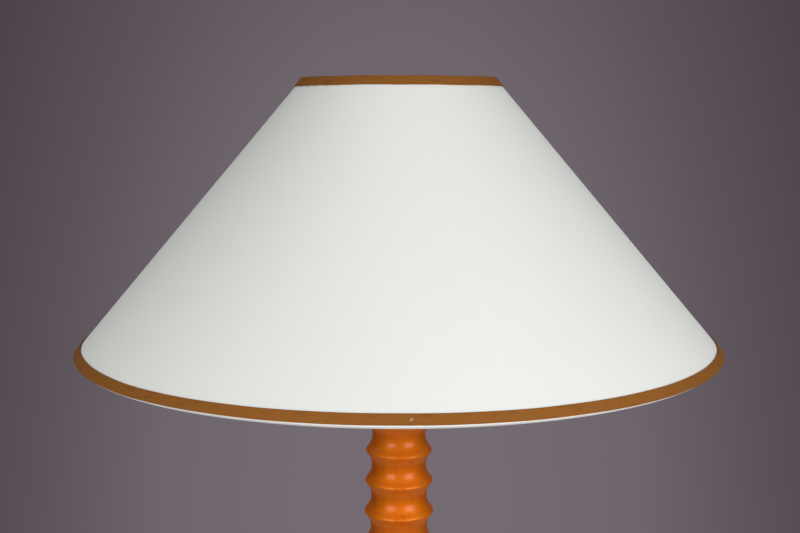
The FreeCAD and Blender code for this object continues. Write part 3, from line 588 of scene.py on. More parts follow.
class Graph:
    """A node tree under construction."""

    def __init__(self, tree: bpy.types.NodeTree) -> None:
        """Keeps the tree."""
        self.tree = tree

    def node(self, kind: str, inputs: dict[Any, Any] | None = None, **settings: Any) -> bpy.types.Node:
        """Adds a node, with its settings, and links or sets its inputs.

        Args:
            kind: Blender's name of the node.
            inputs: Outputs to link, or values, by input.
            **settings: The node's own settings.

        Returns:
            The node.
        """
        node = self.tree.nodes.new(kind)
        for key, value in settings.items():
            setattr(node, key, value)
        for key, value in (inputs or {}).items():
            if isinstance(value, Out):
                self.tree.links.new(value, node.inputs[key])
            else:
                node.inputs[key].default_value = value
        return node

    def sum(self, operation: str, *values: Any) -> Out:
        """One arithmetic node of that operation."""
        return self.node("ShaderNodeMath", dict(enumerate(values)), operation=operation).outputs[0]

    def vector(self, operation: str, inputs: dict[int, Any]) -> Out:
        """One vector node of that operation: a length, or else a vector."""
        node = self.node("ShaderNodeVectorMath", inputs, operation=operation)
        return node.outputs["Value" if operation == "LENGTH" else "Vector"]

    def ramp(self, value: Out, *stops: tuple[float, Colour]) -> Out:
        """A colour from a row of (place, colour) stops.

        Args:
            value: What picks the colour.
            *stops: Place and colour of each stop.

        Returns:
            The colour.
        """
        node = self.node("ShaderNodeValToRGB", {0: value})
        marks = node.color_ramp.elements
        while len(marks) < len(stops):
            marks.new(1.0)
        for mark, (place, colour) in zip(marks, stops):
            mark.position, mark.color = place, (*colour, 1.0)
        return node.outputs[0]


class Shader(Graph):
    """A material under construction: one Principled shader and the nodes that feed it."""

    def __init__(self, name: str, **sockets: Any) -> None:
        """Starts the material with values of the shader's own sockets, named with _ for each space.

        Args:
            name: The material's name.
            **sockets: The values.
        """
        self.material = bpy.data.materials.new(name)
        self.material.use_nodes = True
        super().__init__(self.material.node_tree)
        self.shader = self.tree.nodes["Principled BSDF"]
        for key, value in sockets.items():
            self.shader.inputs[key.replace("_", " ")].default_value = value

    def at(self, scale: float | Sequence[float] = 1.0, kind: Coordinates = Coordinates.OBJECT,
           shift: Sequence[float] = (0.0, 0.0, 0.0)) -> Out:
        """Coordinates in metres, stretched and then shifted, for a pattern.

        Args:
            scale: Stretch, each way or all ways.
            kind: What it follows.
            shift: Shift after the stretch.

        Returns:
            The coordinates.
        """
        source = self.node("ShaderNodeTexCoord").outputs[kind.value]
        stretch = (scale,) * 3 if isinstance(scale, float) else scale
        return self.node("ShaderNodeMapping", {"Vector": source, "Scale": stretch, "Location": shift}).outputs[0]

    def noise(self, scale: float | Sequence[float], detail: float = 4.0, roughness: float = 0.5,
              distortion: float = 0.0, output: int = 0, **where: Any) -> Out:
        """Cloudy noise.

        Args:
            scale: Its waves a metre, each way or all ways.
            detail: Octaves.
            roughness: How strong the finer octaves are.
            distortion: How far it is stirred.
            output: 0 for a value from 0 to 1, or 1 for three of them.
            **where: What it follows, as in at.

        Returns:
            The node's output.
        """
        return self.node("ShaderNodeTexNoise", {"Vector": self.at(scale, **where), "Scale": 1.0, "Detail": detail,
                                                "Roughness": roughness, "Distortion": distortion}).outputs[output]

    def weigh(self, *shares: tuple[Out, float]) -> Out:
        """Adds values up, each times its weight.

        Args:
            *shares: Each value with its weight.

        Returns:
            The total.
        """
        total = self.sum("MULTIPLY", *shares[0])
        for value, weight in shares[1:]:
            total = self.sum("MULTIPLY_ADD", value, weight, total)
        return total

    def span(self, value: Out, low: float, high: float, to_low: float = 0.0, to_high: float = 1.0) -> Out:
        """Maps low..high onto to_low..to_high, held at the ends."""
        return self.node("ShaderNodeMapRange", {0: value, 1: low, 2: high, 3: to_low, 4: to_high}).outputs[0]

    def mix(self, share: Out, first: Out, second: Colour) -> Out:
        """Mixes a colour into another by a share."""
        return self.node("ShaderNodeMix", {0: share, 6: first, 7: (*second, 1.0)}, data_type="RGBA").outputs[2]

    def bump(self, height: Out, depth: float, strength: float = 1.0, **below: Out) -> Out:
        """Raises the surface by depth metres where height is 1, over a bump given as Normal."""
        return self.node("ShaderNodeBump", {"Height": height, "Distance": depth, "Strength": strength,
                                            **below}).outputs[0]

    def feed(self, **sockets: Out) -> Material:
        """Links nodes to the shader's sockets and returns the finished material.

        Args:
            **sockets: The outputs, named with _ for each space.

        Returns:
            The material.
        """
        for key, value in sockets.items():
            self.tree.links.new(value, self.shader.inputs[key.replace("_", " ")])
        return self.material


@dataclass(frozen=True)
class AmberLacquer:
    """Tinted gloss lacquer on turned hardwood: fine upright grain, with painted shade in the hollows and a painted
    highlight on the crests.
    """

    pale: Colour = (0.96, 0.268, 0.0020)
    amber: Colour = (0.86, 0.212, 0.0012)
    deep: Colour = (0.57, 0.104, 0.0010)
    fibre_share: float = 0.80
    pith: tuple[float, float, float] = (0.046, 0.071, 0.0)
    wander: float = 0.03            # of the pith from its line, in metres

    def material(self) -> Material:
        """Grain is noise drawn out along Z; the ring figure is the distance from an off-centre pith.

        Wood fibres under lacquer throw light back in their own colour and mostly the way a mirror would, which
        the metallic share stands for. The coat is the clear gloss over them.

        Returns:
            The finished material.
        """
        s = Shader("amber_lacquer", Metallic=self.fibre_share, Roughness=0.66, IOR=1.50, Specular_IOR_Level=0.12,
                   Coat_Weight=0.50, Coat_Roughness=0.25, Coat_IOR=1.50)
        fibres = s.noise((900.0, 900.0, 22.0), detail=5.0, roughness=0.62)
        streaks = s.noise((150.0, 150.0, 2.4), roughness=0.55, distortion=0.4)
        drift = s.noise((9.0, 9.0, 1.3), detail=2.0)
        astray = s.vector("SCALE", {0: s.noise((5.0, 5.0, 1.2), detail=2.0, output=1), 3: self.wander})
        from_pith = s.vector("ADD", {0: s.at((1.0, 1.0, 0.03), shift=self.pith), 1: astray})
        rings = s.node("ShaderNodeTexWave", {"Vector": from_pith, "Scale": 42.0, "Distortion": 1.2, "Detail": 2.0,
                                             "Detail Scale": 1.5}, wave_type="RINGS", rings_direction="Z",
                       wave_profile="SAW").outputs[1]
        tone = s.weigh((streaks, 0.58), (rings, 0.05), (fibres, 0.20), (drift, 0.22))
        wood = s.ramp(tone, (0.24, self.deep), (0.44, self.amber), (0.74, self.pale))
        # painted shade and highlight: by the crest attribute, the hollows are mixed towards the deep colour as painted
        # shade, and the crests towards the pale one as a painted highlight
        crest = s.node("ShaderNodeAttribute", attribute_name="crest").outputs["Fac"]
        painted_hollow_shade = s.mix(s.span(crest, 0.46, 0.10, 0.0, 0.40), wood, self.deep)
        colour = s.mix(s.span(crest, 0.70, 1.0, 0.0, 0.40), painted_hollow_shade, self.pale)
        tool = s.noise((2.0, 2.0, 1500.0), detail=3.0, roughness=0.7)
        skin = s.bump(s.noise((170.0, 170.0, 120.0), detail=2.0), 0.00004, 0.35)
        grooves = s.bump(s.weigh((tool, 0.5), (fibres, 0.5)), 0.00003, 0.30, Normal=skin)
        return s.feed(Base_Color=colour, Normal=grooves, Coat_Normal=skin)


@dataclass(frozen=True)
class ShadeCloth:
    """Plain-woven off-white cloth, laminated flat: two sets of threads, with here and there a thicker one."""

    white: Colour = (0.862, 0.866, 0.846)
    shadow: Colour = (0.796, 0.802, 0.774)
    thread: float = 0.00056

    def material(self) -> Material:
        """The weave is the product of two sines of the map, in metres of the flat cloth.

        Returns:
            The finished material.
        """
        s = Shader("shade_cloth", Roughness=0.86, Sheen_Weight=0.12, Sheen_Roughness=0.5, Specular_IOR_Level=0.25)
        where = s.node("ShaderNodeSeparateXYZ", {0: s.at(kind=Coordinates.MAP)}).outputs
        pace = FULL_TURN / (2.0 * self.thread)
        warp, weft = (s.sum("SINE", s.sum("MULTIPLY", where[way], pace)) for way in (0, 1))
        weave = s.span(s.sum("MULTIPLY", warp, weft), -1.0, 1.0)
        slubs = s.weigh(*((s.noise(way, detail=3.0, roughness=0.6, kind=Coordinates.MAP), 0.5)
                          for way in ((12.0, 1400.0, 1.0), (1400.0, 12.0, 1.0))))
        tone = s.weigh((weave, 0.30), (slubs, 0.55), (s.noise(7.0, detail=3.0), 0.20))
        height = s.weigh((weave, 0.6), (slubs, 0.4))
        return s.feed(Base_Color=s.ramp(tone, (0.30, self.shadow), (0.72, self.white)),
                      Normal=s.bump(height, 0.00006, 0.45))


@dataclass(frozen=True)
class StiffLining:
    """The white laminated lining: smooth, with a faint mottle."""

    white: Colour = (0.86, 0.86, 0.84)
    mottle: Colour = (0.83, 0.83, 0.805)

    def material(self) -> Material:
        """Low clouds of tone and a shallow orange peel.

        Returns:
            The finished material.
        """
        s = Shader("stiff_lining", Roughness=0.48, Specular_IOR_Level=0.4)
        cloud = s.noise(14.0, detail=5.0, roughness=0.6)
        return s.feed(Base_Color=s.ramp(cloud, (0.3, self.mottle), (0.7, self.white)),
                      Normal=s.bump(s.noise(500.0, detail=2.0), 0.00003, 0.3))


@dataclass(frozen=True)
class CottonTape:
    """White twill tape: fine slanting ribs."""

    white: Colour = (0.88, 0.87, 0.845)
    rib: Colour = (0.70, 0.69, 0.66)
    pitch: float = 0.0007

    def material(self) -> Material:
        """The ribs are a sine of the sum of both map directions, broken up by noise.

        Returns:
            The finished material.
        """
        s = Shader("cotton_tape", Roughness=0.9, Sheen_Weight=0.2, Specular_IOR_Level=0.2)
        where = s.node("ShaderNodeSeparateXYZ", {0: s.at(kind=Coordinates.MAP)}).outputs
        slant = s.sum("MULTIPLY", s.sum("ADD", where[0], where[1]), FULL_TURN / self.pitch)
        ribs = s.span(s.sum("SINE", slant), -1.0, 1.0)
        tone = s.weigh((ribs, 0.45), (s.noise(900.0, detail=3.0), 0.55))
        return s.feed(Base_Color=s.ramp(tone, (0.25, self.rib), (0.65, self.white)),
                      Normal=s.bump(tone, 0.00010, 0.5))


@dataclass(frozen=True)
class LeatherTrim:
    """A matt brown strip: fine pebbled grain, burnished darker along both edges, with one small nick."""

    brown: Colour = (0.355, 0.136, 0.0260)
    dark: Colour = (0.255, 0.092, 0.0150)
    nick: Colour = (0.62, 0.40, 0.28)
    width: float = 0.0087
    fray: float = 0.0006
    nick_at: tuple[float, float] = (0.0086, 0.0041)
    nick_size: tuple[float, float] = (0.0019, 0.0009)
    nick_slant: float = math.radians(48.0)
    nap_share: float = 0.35         # light that the smooth face throws on in its own colour

    def material(self) -> Material:
        """The edges darken with the map's second direction, which runs across the strip.

        The nick is where a point's distance from its middle, turned and stretched to an ellipse, is under 1.

        Returns:
            The finished material.
        """
        s = Shader("trim_leather", Metallic=self.nap_share, Roughness=0.68, Specular_IOR_Level=0.12)
        on_map, half = Coordinates.MAP, self.width / 2
        across = s.node("ShaderNodeSeparateXYZ", {0: s.at(kind=on_map)}).outputs[1]
        middle = s.sum("ABSOLUTE", s.sum("SUBTRACT", across, half))
        frayed = s.weigh((middle, 1.0), (s.noise((900.0, 900.0, 1.0), kind=on_map), self.fray))
        edge = s.span(frayed, half - 0.0008, half + 0.0002, 0.0, 0.35)
        cloud = s.noise((60.0, 220.0, 1.0), detail=5.0, roughness=0.65, kind=on_map)
        pebble = s.node("ShaderNodeTexVoronoi", {"Vector": s.at((1500.0, 1500.0, 1.0), on_map),
                                                 "Scale": 1.0}).outputs[0]
        face = s.ramp(cloud, (0.28, self.dark), (0.46, self.brown), (0.75, self.brown))
        inside = s.node("ShaderNodeMapping", {"Vector": s.at(kind=on_map), "Location": (*self.nick_at, 0.0),
                                              "Rotation": (0.0, 0.0, self.nick_slant),
                                              "Scale": (*self.nick_size, 1.0)}, vector_type="TEXTURE").outputs[0]
        nicked = s.span(s.vector("LENGTH", {0: inside}), 1.0, 0.5)
        return s.feed(Base_Color=s.mix(nicked, s.mix(edge, face, self.dark), self.nick),
                      Normal=s.bump(pebble, 0.00008, 0.35))


@dataclass(frozen=True)
class LampBrass:
    """Polished and lacquered brass, a little dulled in places."""

    bright: Colour = (0.86, 0.62, 0.26)
    dull: Colour = (0.62, 0.41, 0.15)

    def material(self) -> Material:
        """Clouds of tarnish drive colour and roughness together.

        Returns:
            The finished material.
        """
        s = Shader("lamp_brass", Metallic=1.0, Coat_Weight=0.25, Coat_Roughness=0.12)
        cloud = s.noise(55.0, detail=6.0, roughness=0.62)
        return s.feed(Base_Color=s.ramp(cloud, (0.32, self.dull), (0.62, self.bright)),
                      Roughness=s.span(cloud, 0.30, 0.70, 0.36, 0.18),
                      Normal=s.bump(s.noise((80.0, 80.0, 2600.0), detail=2.0), 0.00001, 0.25))


@dataclass(frozen=True)
class PlainMetal:
    """Steel, zinc, aluminium, solder or iron: a metal with its own tone, gloss and grain."""

    name: str
    light: Colour
    dark: Colour
    smooth: float
    rough: float
    grain: float | tuple[float, float, float]
    depth: float
    metallic: float = 1.0

    def material(self) -> Material:
        """Noise in the grain's direction drives colour, roughness and a fine bump.

        Returns:
            The finished material.
        """
        s = Shader(self.name, Metallic=self.metallic)
        cloud = s.noise(self.grain, detail=5.0, roughness=0.6)
        return s.feed(Base_Color=s.ramp(cloud, (0.3, self.dark), (0.68, self.light)),
                      Roughness=s.span(cloud, 0.3, 0.7, self.rough, self.smooth),
                      Normal=s.bump(cloud, self.depth, 0.4))


@dataclass(frozen=True)
class Moulding:
    """Moulded plastic, enamel, board, felt or pressed paper: a dull ground with a fleck and a texture."""

    name: str
    ground: Colour
    fleck: Colour
    rough: float
    texture: float | tuple[float, float, float]
    depth: float
    coat: float = 0.0
    sheen: float = 0.0

    def material(self) -> Material:
        """One noise gives the fleck, and a second, at the same scale, the bump.

        Returns:
            The finished material.
        """
        s = Shader(self.name, Roughness=self.rough, Coat_Weight=self.coat, Coat_Roughness=0.1, Sheen_Weight=self.sheen)
        fleck = s.noise(self.texture, detail=5.0, roughness=0.68)
        pits = s.noise(self.texture, detail=3.0, shift=(0.31, 0.17, 0.05))
        return s.feed(Base_Color=s.ramp(fleck, (0.40, self.ground), (0.75, self.fleck)),
                      Normal=s.bump(pits, self.depth, 0.5))


MAKERS = {
    Slot.WOOD: AmberLacquer(), Slot.CLOTH: ShadeCloth(), Slot.LINING: StiffLining(), Slot.TAPE: CottonTape(),
    Slot.TRIM: LeatherTrim(), Slot.BRASS: LampBrass(),
    Slot.IRON: PlainMetal("cast_iron", (0.10, 0.10, 0.10), (0.045, 0.042, 0.040), 0.55, 0.8, 260.0, 0.0003, 0.6),
    Slot.SCREW: PlainMetal("zinc_screw", (0.62, 0.61, 0.57), (0.44, 0.43, 0.40), 0.28, 0.45, 300.0, 0.00003),
    Slot.STEEL: PlainMetal("rolled_steel", (0.58, 0.57, 0.55), (0.34, 0.33, 0.32), 0.30, 0.5, (90.0, 90.0, 2000.0),
                           0.00008),
    Slot.SOLDER: PlainMetal("soft_solder", (0.60, 0.60, 0.60), (0.40, 0.40, 0.41), 0.30, 0.55, 420.0, 0.00008),
    Slot.BULB_METAL: PlainMetal("rolled_aluminium", (0.83, 0.83, 0.82), (0.66, 0.66, 0.65), 0.22, 0.38,
                                (60.0, 60.0, 900.0), 0.00002),
    Slot.BOARD: Moulding("pressed_board", (0.30, 0.20, 0.11), (0.42, 0.30, 0.18), 0.85, 260.0, 0.0001),
    Slot.FELT: Moulding("base_felt", (0.060, 0.042, 0.030), (0.13, 0.10, 0.07), 0.97, 700.0, 0.0004, sheen=0.4),
    Slot.BUSHING: Moulding("black_bushing", (0.022, 0.022, 0.023), (0.045, 0.045, 0.046), 0.42, 500.0, 0.00003),
    Slot.FIBRE: Moulding("pressed_paper", (0.42, 0.34, 0.23), (0.56, 0.47, 0.34), 0.8, (300.0, 300.0, 60.0), 0.0001),
    Slot.BODY: Moulding("socket_phenolic", (0.035, 0.018, 0.010), (0.075, 0.040, 0.022), 0.34, 200.0, 0.00003),
    Slot.KEY: Moulding("key_phenolic", (0.026, 0.015, 0.010), (0.060, 0.034, 0.020), 0.26, 240.0, 0.00002, coat=0.3),
    Slot.INSULATOR: Moulding("bulb_insulator", (0.012, 0.010, 0.014), (0.035, 0.028, 0.040), 0.18, 400.0, 0.00003),
    Slot.GLASS: Moulding("bulb_glass", (0.90, 0.90, 0.87), (0.94, 0.94, 0.92), 0.30, 30.0, 0.00002, coat=1.0),
    Slot.WIRE: Moulding("white_wire", (0.80, 0.80, 0.77), (0.86, 0.86, 0.84), 0.36, 650.0, 0.00004),
}


# ---- bench
class Bench:
    """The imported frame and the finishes, and how a finished piece takes its place."""

    def __init__(self, frame: dict[str, Any]) -> None:
        """Keeps the frame and makes every finish."""
        self.frame = frame
        self.finishes = {slot: maker.material() for slot, maker in MAKERS.items()}

    def low(self, node: str) -> Array:
        """The lowest corner of a CAD node's box."""
        return np.array(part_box(node)[0], float)

    def high(self, node: str) -> Array:
        """The highest corner of a CAD node's box."""
        return np.array(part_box(node)[1], float)

    def fit(self, piece: Piece, body: Body, slot: Slot, *nodes: str) -> Piece:
        """Dresses a piece, lets it ride on its body, and hides the nodes that it stands for.

        Args:
            piece: The finished piece.
            body: The body that it moves with.
            slot: Its finish.
            *nodes: The CAD nodes that it replaces.

        Returns:
            The piece.
        """
        piece.data.materials.clear()
        piece.data.materials.append(self.finishes[slot])
        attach(piece, body.value)
        if nodes:
            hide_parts(*nodes)
        log.info("%-22s %-12s %6d faces", piece.name, body.value, len(piece.data.polygons))
        return piece

    def dress_nodes(self) -> None:
        """Gives each CAD node that still shows the finish of its slot."""
        for part in self.frame["record"]["subparts"]:
            node = self.frame["nodes"][part["node"]]
            if node.hide_render:
                continue
            if not node.material_slots:
                node.data.materials.append(None)
            for slot in node.material_slots:
                slot.material = self.finishes[Slot(part["material_slot"])]
            log.info("%-22s keeps its own mesh", part["node"])


# ---- wooden pieces
TUBE_HOLE = 0.0056              # radius of the long bored hole
SPIGOT_ROOM = 0.0002
SPIGOT_END_ROOM = 0.0005


@dataclass
class RingSeries:
    """The graduated rings: each is a fixed ratio larger than the one above it, every way."""

    radius: float = 0.0283
    pitch: float = 0.0264
    growth: float = 1.0245
    valley_share: float = 0.815
    spigot_share: float = 0.42

    def scale(self, step: float) -> float:
        """Size of a ring that many steps down, over the top ring's."""
        return self.growth ** step

    def valley(self, step: int) -> float:
        """Radius of the valley above that ring."""
        return self.radius * self.scale(step - 0.5) * self.valley_share

    def spigot(self, step: int) -> float:
        """Radius of the spigot in a joint at that valley."""
        return self.valley(step) * self.spigot_share


@dataclass
class Foot:
    """The weighted turned foot, with the bushing of the cord inlet."""

    edge_height: float = 0.032
    edge_bulge: float = 0.014
    quirk_depth: float = 0.006
    quirk_height: float = 0.003
    top_radius: float = 0.116
    fillet_height: float = 0.0045
    dome_bulge: float = 0.0056
    socket_radius: float = 0.036
    socket_depth: float = 0.012
    board_room: float = 0.0002
    ballast_room: float = 0.004
    spot_face_radius: float = 0.0104
    flange_thickness: float = 0.0025
    flange_round: float = 0.0018
    inlet_bore: float = 0.0038
    mouth_flare: float = 0.0012
    mouth_depth: float = 0.002
    barrel_radius: float = 0.0060
    barrel_room: float = 0.00005
    cut_start: float = 0.010        # of the spot face's cutter, outside the foot
    drill_start: float = 0.001      # of the drill, outside the spot face
    drill_end: float = 0.004        # past the wall, inside the recess

    def build(self, bench: Bench) -> None:
        """Turns the foot, cuts the flat seat of the bushing, and moulds the bushing.

        Args:
            bench: Where they are fitted.
        """
        low, high = bench.low("foot"), bench.high("foot")
        board, ballast = bench.high("bottom_board"), bench.high("ballast")
        bottom, top, radius = low[2], high[2], -low[1]
        edge_foot, edge_top = radius - self.edge_bulge, bottom + self.edge_height
        socket_bottom = top - self.socket_depth
        recess_radius = ballast[0] + self.ballast_room
        foot = Profile(board[0] + self.board_room, bottom, ease=0.0009)
        foot.line((edge_foot, bottom)).bulge(edge_foot, edge_top, self.edge_bulge, 28)
        foot.line((edge_foot - self.quirk_depth, edge_top),
                  (edge_foot - self.quirk_depth, edge_top + self.quirk_height))
        foot.bulge(self.top_radius, top - self.fillet_height, self.dome_bulge, 30)
        foot.line((self.top_radius, top), (self.socket_radius, top), (self.socket_radius, socket_bottom),
                  (TUBE_HOLE, socket_bottom), (TUBE_HOLE, ballast[2]), (recess_radius, ballast[2]),
                  (recess_radius, board[2]), (board[0] + self.board_room, board[2]))
        piece = turned_piece("foot_turned", foot, 224, crest_window=0.02)
        bushing = bench.high("cord_bushing")
        level = (bench.low("cord_bushing")[2] + bushing[2]) / 2
        spot_face = bushing[1] - self.flange_thickness
        bored(piece, self.spot_face_radius, (0, radius + self.cut_start, level), (0, spot_face, level))
        bored(piece, self.barrel_radius, (0, spot_face + self.drill_start, level),
              (0, recess_radius - self.drill_end, level))
        bench.fit(piece, Body.ROOT, Slot.WOOD, "foot")
        self.build_bushing(bench, level, spot_face)

    def build_bushing(self, bench: Bench, level: float, spot_face: float) -> None:
        """Moulds the bushing: a barrel, a flange with a rounded rim, and a flared mouth.

        Args:
            bench: Where they are fitted.
            level: Height of its middle line.
            spot_face: Where its flange sits.
        """
        start, end = bench.low("cord_bushing")[1], bench.high("cord_bushing")[1]
        flange, barrel = bench.high("cord_bushing")[0], self.barrel_radius - self.barrel_room
        shape = Profile(self.inlet_bore, start, ease=0.0005)
        shape.line((barrel, start), (barrel, spot_face), (flange, spot_face))
        shape.half_bend(flange - self.flange_round, end, True).line((self.inlet_bore + self.mouth_flare, end))
        shape.half_bend(self.inlet_bore, end - self.mouth_depth, False)
        points = laid_along_y(turned(shape.loop(), 64), 0.0, level)
        bench.fit(Skin().grid(points, closed_rows=True).build("cord_bushing_moulded"), Body.ROOT, Slot.BUSHING,
                  "cord_bushing")


@dataclass
class Bell:
    """The turned bell between foot and shaft: bead, long cove, collar, neck and top bead."""

    rings: RingSeries
    base_radius: float = 0.112
    bead_bulge: float = 0.007
    bead_height: float = 0.024
    quirk_depth: float = 0.005
    cove_top_radius: float = 0.061
    cove_height: float = 0.0996
    cove_depth: float = 0.017
    collar_step: float = 0.005
    collar_bulge: float = 0.007
    collar_height: float = 0.022
    neck_radius: float = 0.057
    neck_depth: float = 0.007
    neck_height: float = 0.026
    top_bulge: float = 0.005
    top_height: float = 0.016
    spigot_length: float = 0.014
    ring_count: int = 28

    def build(self, bench: Bench, foot: Foot) -> None:
        """Turns the bell with its spigot below and its socket above.

        Args:
            bench: Where they are fitted.
            foot: The foot that it stands in.
        """
        seat, top = bench.high("foot")[2], bench.high("bell")[2]
        spigot, spigot_bottom = foot.socket_radius - SPIGOT_ROOM, seat - foot.socket_depth + SPIGOT_END_ROOM
        socket = self.rings.spigot(self.ring_count) + SPIGOT_ROOM
        socket_bottom = top - self.spigot_length - SPIGOT_END_ROOM
        collar_foot = self.cove_top_radius + self.collar_step
        levels = seat + np.cumsum([self.bead_height, self.cove_height, self.collar_height, self.neck_height,
                                   self.top_height])
        bell = Profile(TUBE_HOLE, spigot_bottom, ease=0.0008)
        bell.line((spigot, spigot_bottom), (spigot, seat), (self.base_radius, seat))
        bell.bulge(self.base_radius, levels[0], self.bead_bulge, 22)
        bell.line((self.base_radius - self.quirk_depth, levels[0]))
        bell.bulge(self.cove_top_radius, levels[1], -self.cove_depth, 40)
        bell.line((collar_foot, levels[1])).bulge(collar_foot, levels[2], self.collar_bulge, 20)
        bell.line((self.neck_radius, levels[2])).bulge(self.neck_radius, levels[3], -self.neck_depth, 20)
        bell.bulge(self.neck_radius, levels[4], self.top_bulge, 16)
        bell.line((self.rings.valley(self.ring_count), top), (socket, top), (socket, socket_bottom),
                  (TUBE_HOLE, socket_bottom))
        bench.fit(turned_piece("bell_turned", bell, 176, crest_window=0.02), Body.ROOT, Slot.WOOD, "bell")


@dataclass
class Shaft:
    """The ring-turned shaft, in three lengths glued spigot to socket."""

    rings: RingSeries
    valley_pull: float = 0.60
    nose_pull: float = 0.15
    spigot_length: float = 0.014
    joint_line: float = 0.00015

    def build_length(self, bench: Bench, node: str, first: int, count: int) -> None:
        """Turns one length: per ring, a wave out to the crest and a wave back to the next valley.

        Args:
            bench: Where they are fitted.
            node: The CAD node of the length.
            first: Its first ring's place in the series.
            count: How many rings it has.
        """
        rings, top = self.rings, bench.high(node)[2]
        above, below = rings.valley(first), rings.valley(first + count)
        socket, spigot = rings.spigot(first) + SPIGOT_ROOM, rings.spigot(first + count)
        socket_bottom = top - self.spigot_length - SPIGOT_END_ROOM
        shape = Profile(TUBE_HOLE, socket_bottom, ease=self.joint_line)
        shape.line((socket, socket_bottom), (socket, top), (above - self.joint_line, top),
                   (above, top - self.joint_line))
        level = top
        for step in range(first, first + count):
            height, last = rings.pitch * rings.scale(step), step == first + count - 1
            shape.wave(rings.radius * rings.scale(step), level - height / 2, self.valley_pull, self.nose_pull)
            end = level - height + (self.joint_line if last else 0.0)
            shape.wave(rings.valley(step + 1), end, self.nose_pull, self.valley_pull)
            level -= height
        shape.line((below - self.joint_line, level), (spigot, level), (spigot, level - self.spigot_length),
                   (TUBE_HOLE, level - self.spigot_length))
        outline = shape.loop()[::-1]
        skin = Skin().grid(turned(outline, 144), closed_rows=True, crest=relief(outline, 0.5 * rings.pitch))
        bench.fit(skin.build(node + "_turned"), Body.ROOT, Slot.WOOD, node)

    def build(self, bench: Bench, counts: Sequence[int] = (10, 9, 9)) -> None:
        """Turns the three lengths, from the top.

        Args:
            bench: Where they are fitted.
            counts: Rings in each length.
        """
        first = 0
        for node, count in zip(("shaft_upper", "shaft_middle", "shaft_lower"), counts):
            self.build_length(bench, node, first, count)
            first += count


@dataclass
class Capital:
    """The drip pan and candle cup, and the brass cap and collar over them."""

    rings: RingSeries
    pan_radius: float = 0.049
    hub_radius: float = 0.0234
    hub_height: float = 0.003
    rim_height: float = 0.003
    cove_rise: float = 0.0032
    cove_depth: float = 0.0016
    dish_depth: float = 0.003
    spigot_length: float = 0.014
    seat_radius: float = 0.019
    cup_spigot: float = 0.011
    cup_spigot_length: float = 0.005
    cup_foot_height: float = 0.004
    waist_radius: float = 0.0155
    waist_height: float = 0.008
    belly_bulge: float = 0.003
    lip_radius: float = 0.0215
    lip_height: float = 0.004
    cap_radius: float = 0.020
    cap_top_radius: float = 0.0115
    cap_wall: float = 0.0009
    tube_radius: float = 0.00515
    collar_radius: float = 0.0095
    collar_bulge: float = 0.0016

    def build(self, bench: Bench) -> None:
        """Turns the two wooden pieces and spins the two brass ones.

        Args:
            bench: Where they are fitted.
        """
        seat, pan_top = bench.high("shaft_upper")[2], bench.high("drip_pan")[2]
        cup_top, cap_top = bench.high("candle_cup")[2], bench.high("brass_cap")[2]
        spigot, spigot_bottom = self.rings.spigot(0), seat - self.spigot_length
        rim_bottom = seat + self.hub_height + self.cove_rise
        cup_socket = self.cup_spigot + SPIGOT_ROOM
        cup_socket_bottom = pan_top - self.cup_spigot_length - SPIGOT_END_ROOM
        pan = Profile(TUBE_HOLE, spigot_bottom, ease=0.0006)
        pan.line((spigot, spigot_bottom), (spigot, seat), (self.hub_radius, seat),
                 (self.hub_radius, seat + self.hub_height))
        pan.bulge(self.pan_radius, rim_bottom, -self.cove_depth)
        pan.bulge(self.pan_radius, rim_bottom + self.rim_height, self.rim_height / 2)
        pan.line((self.seat_radius + self.dish_depth, pan_top - self.dish_depth), (self.seat_radius, pan_top),
                 (cup_socket, pan_top), (cup_socket, cup_socket_bottom), (TUBE_HOLE, cup_socket_bottom))
        bench.fit(turned_piece("drip_pan_turned", pan, 144), Body.ROOT, Slot.WOOD, "drip_pan")

        foot_top = pan_top + self.cup_foot_height
        waist_top = foot_top + self.waist_height
        cup = Profile(TUBE_HOLE, pan_top - self.cup_spigot_length, ease=0.0005)
        cup.line((self.cup_spigot, pan_top - self.cup_spigot_length), (self.cup_spigot, pan_top),
                 (self.seat_radius, pan_top))
        cup.bulge(self.seat_radius, foot_top, self.cup_foot_height / 2)
        cup.half_bend(self.waist_radius, foot_top + self.waist_height / 2, False)
        cup.half_bend(self.seat_radius, waist_top, True)
        cup.bulge(self.lip_radius, cup_top - self.lip_height, self.belly_bulge)
        cup.bulge(self.lip_radius, cup_top, self.lip_height / 2)
        cup.line((TUBE_HOLE, cup_top))
        bench.fit(turned_piece("candle_cup_turned", cup, 112), Body.ROOT, Slot.WOOD, "candle_cup")

        wall, inner = self.cap_wall, self.tube_radius
        cap = Profile(inner, cap_top - wall, ease=0.0003).line((self.cap_top_radius - wall, cap_top - wall))
        cap.bulge(self.cap_radius - wall, cup_top, -wall).line((self.cap_radius, cup_top))
        cap.bulge(self.cap_top_radius, cap_top, wall).line((inner, cap_top))
        bench.fit(turned_piece("brass_cap_spun", cap, 96), Body.ROOT, Slot.BRASS, "brass_cap")
        collar_top = bench.high("neck_collar")[2]
        collar = Profile(inner, cap_top, ease=0.0002).line((self.collar_radius, cap_top))
        collar.bulge(self.collar_radius, collar_top, self.collar_bulge).line((inner, collar_top))
        bench.fit(turned_piece("neck_collar_turned", collar, 72), Body.ROOT, Slot.BRASS, "neck_collar")


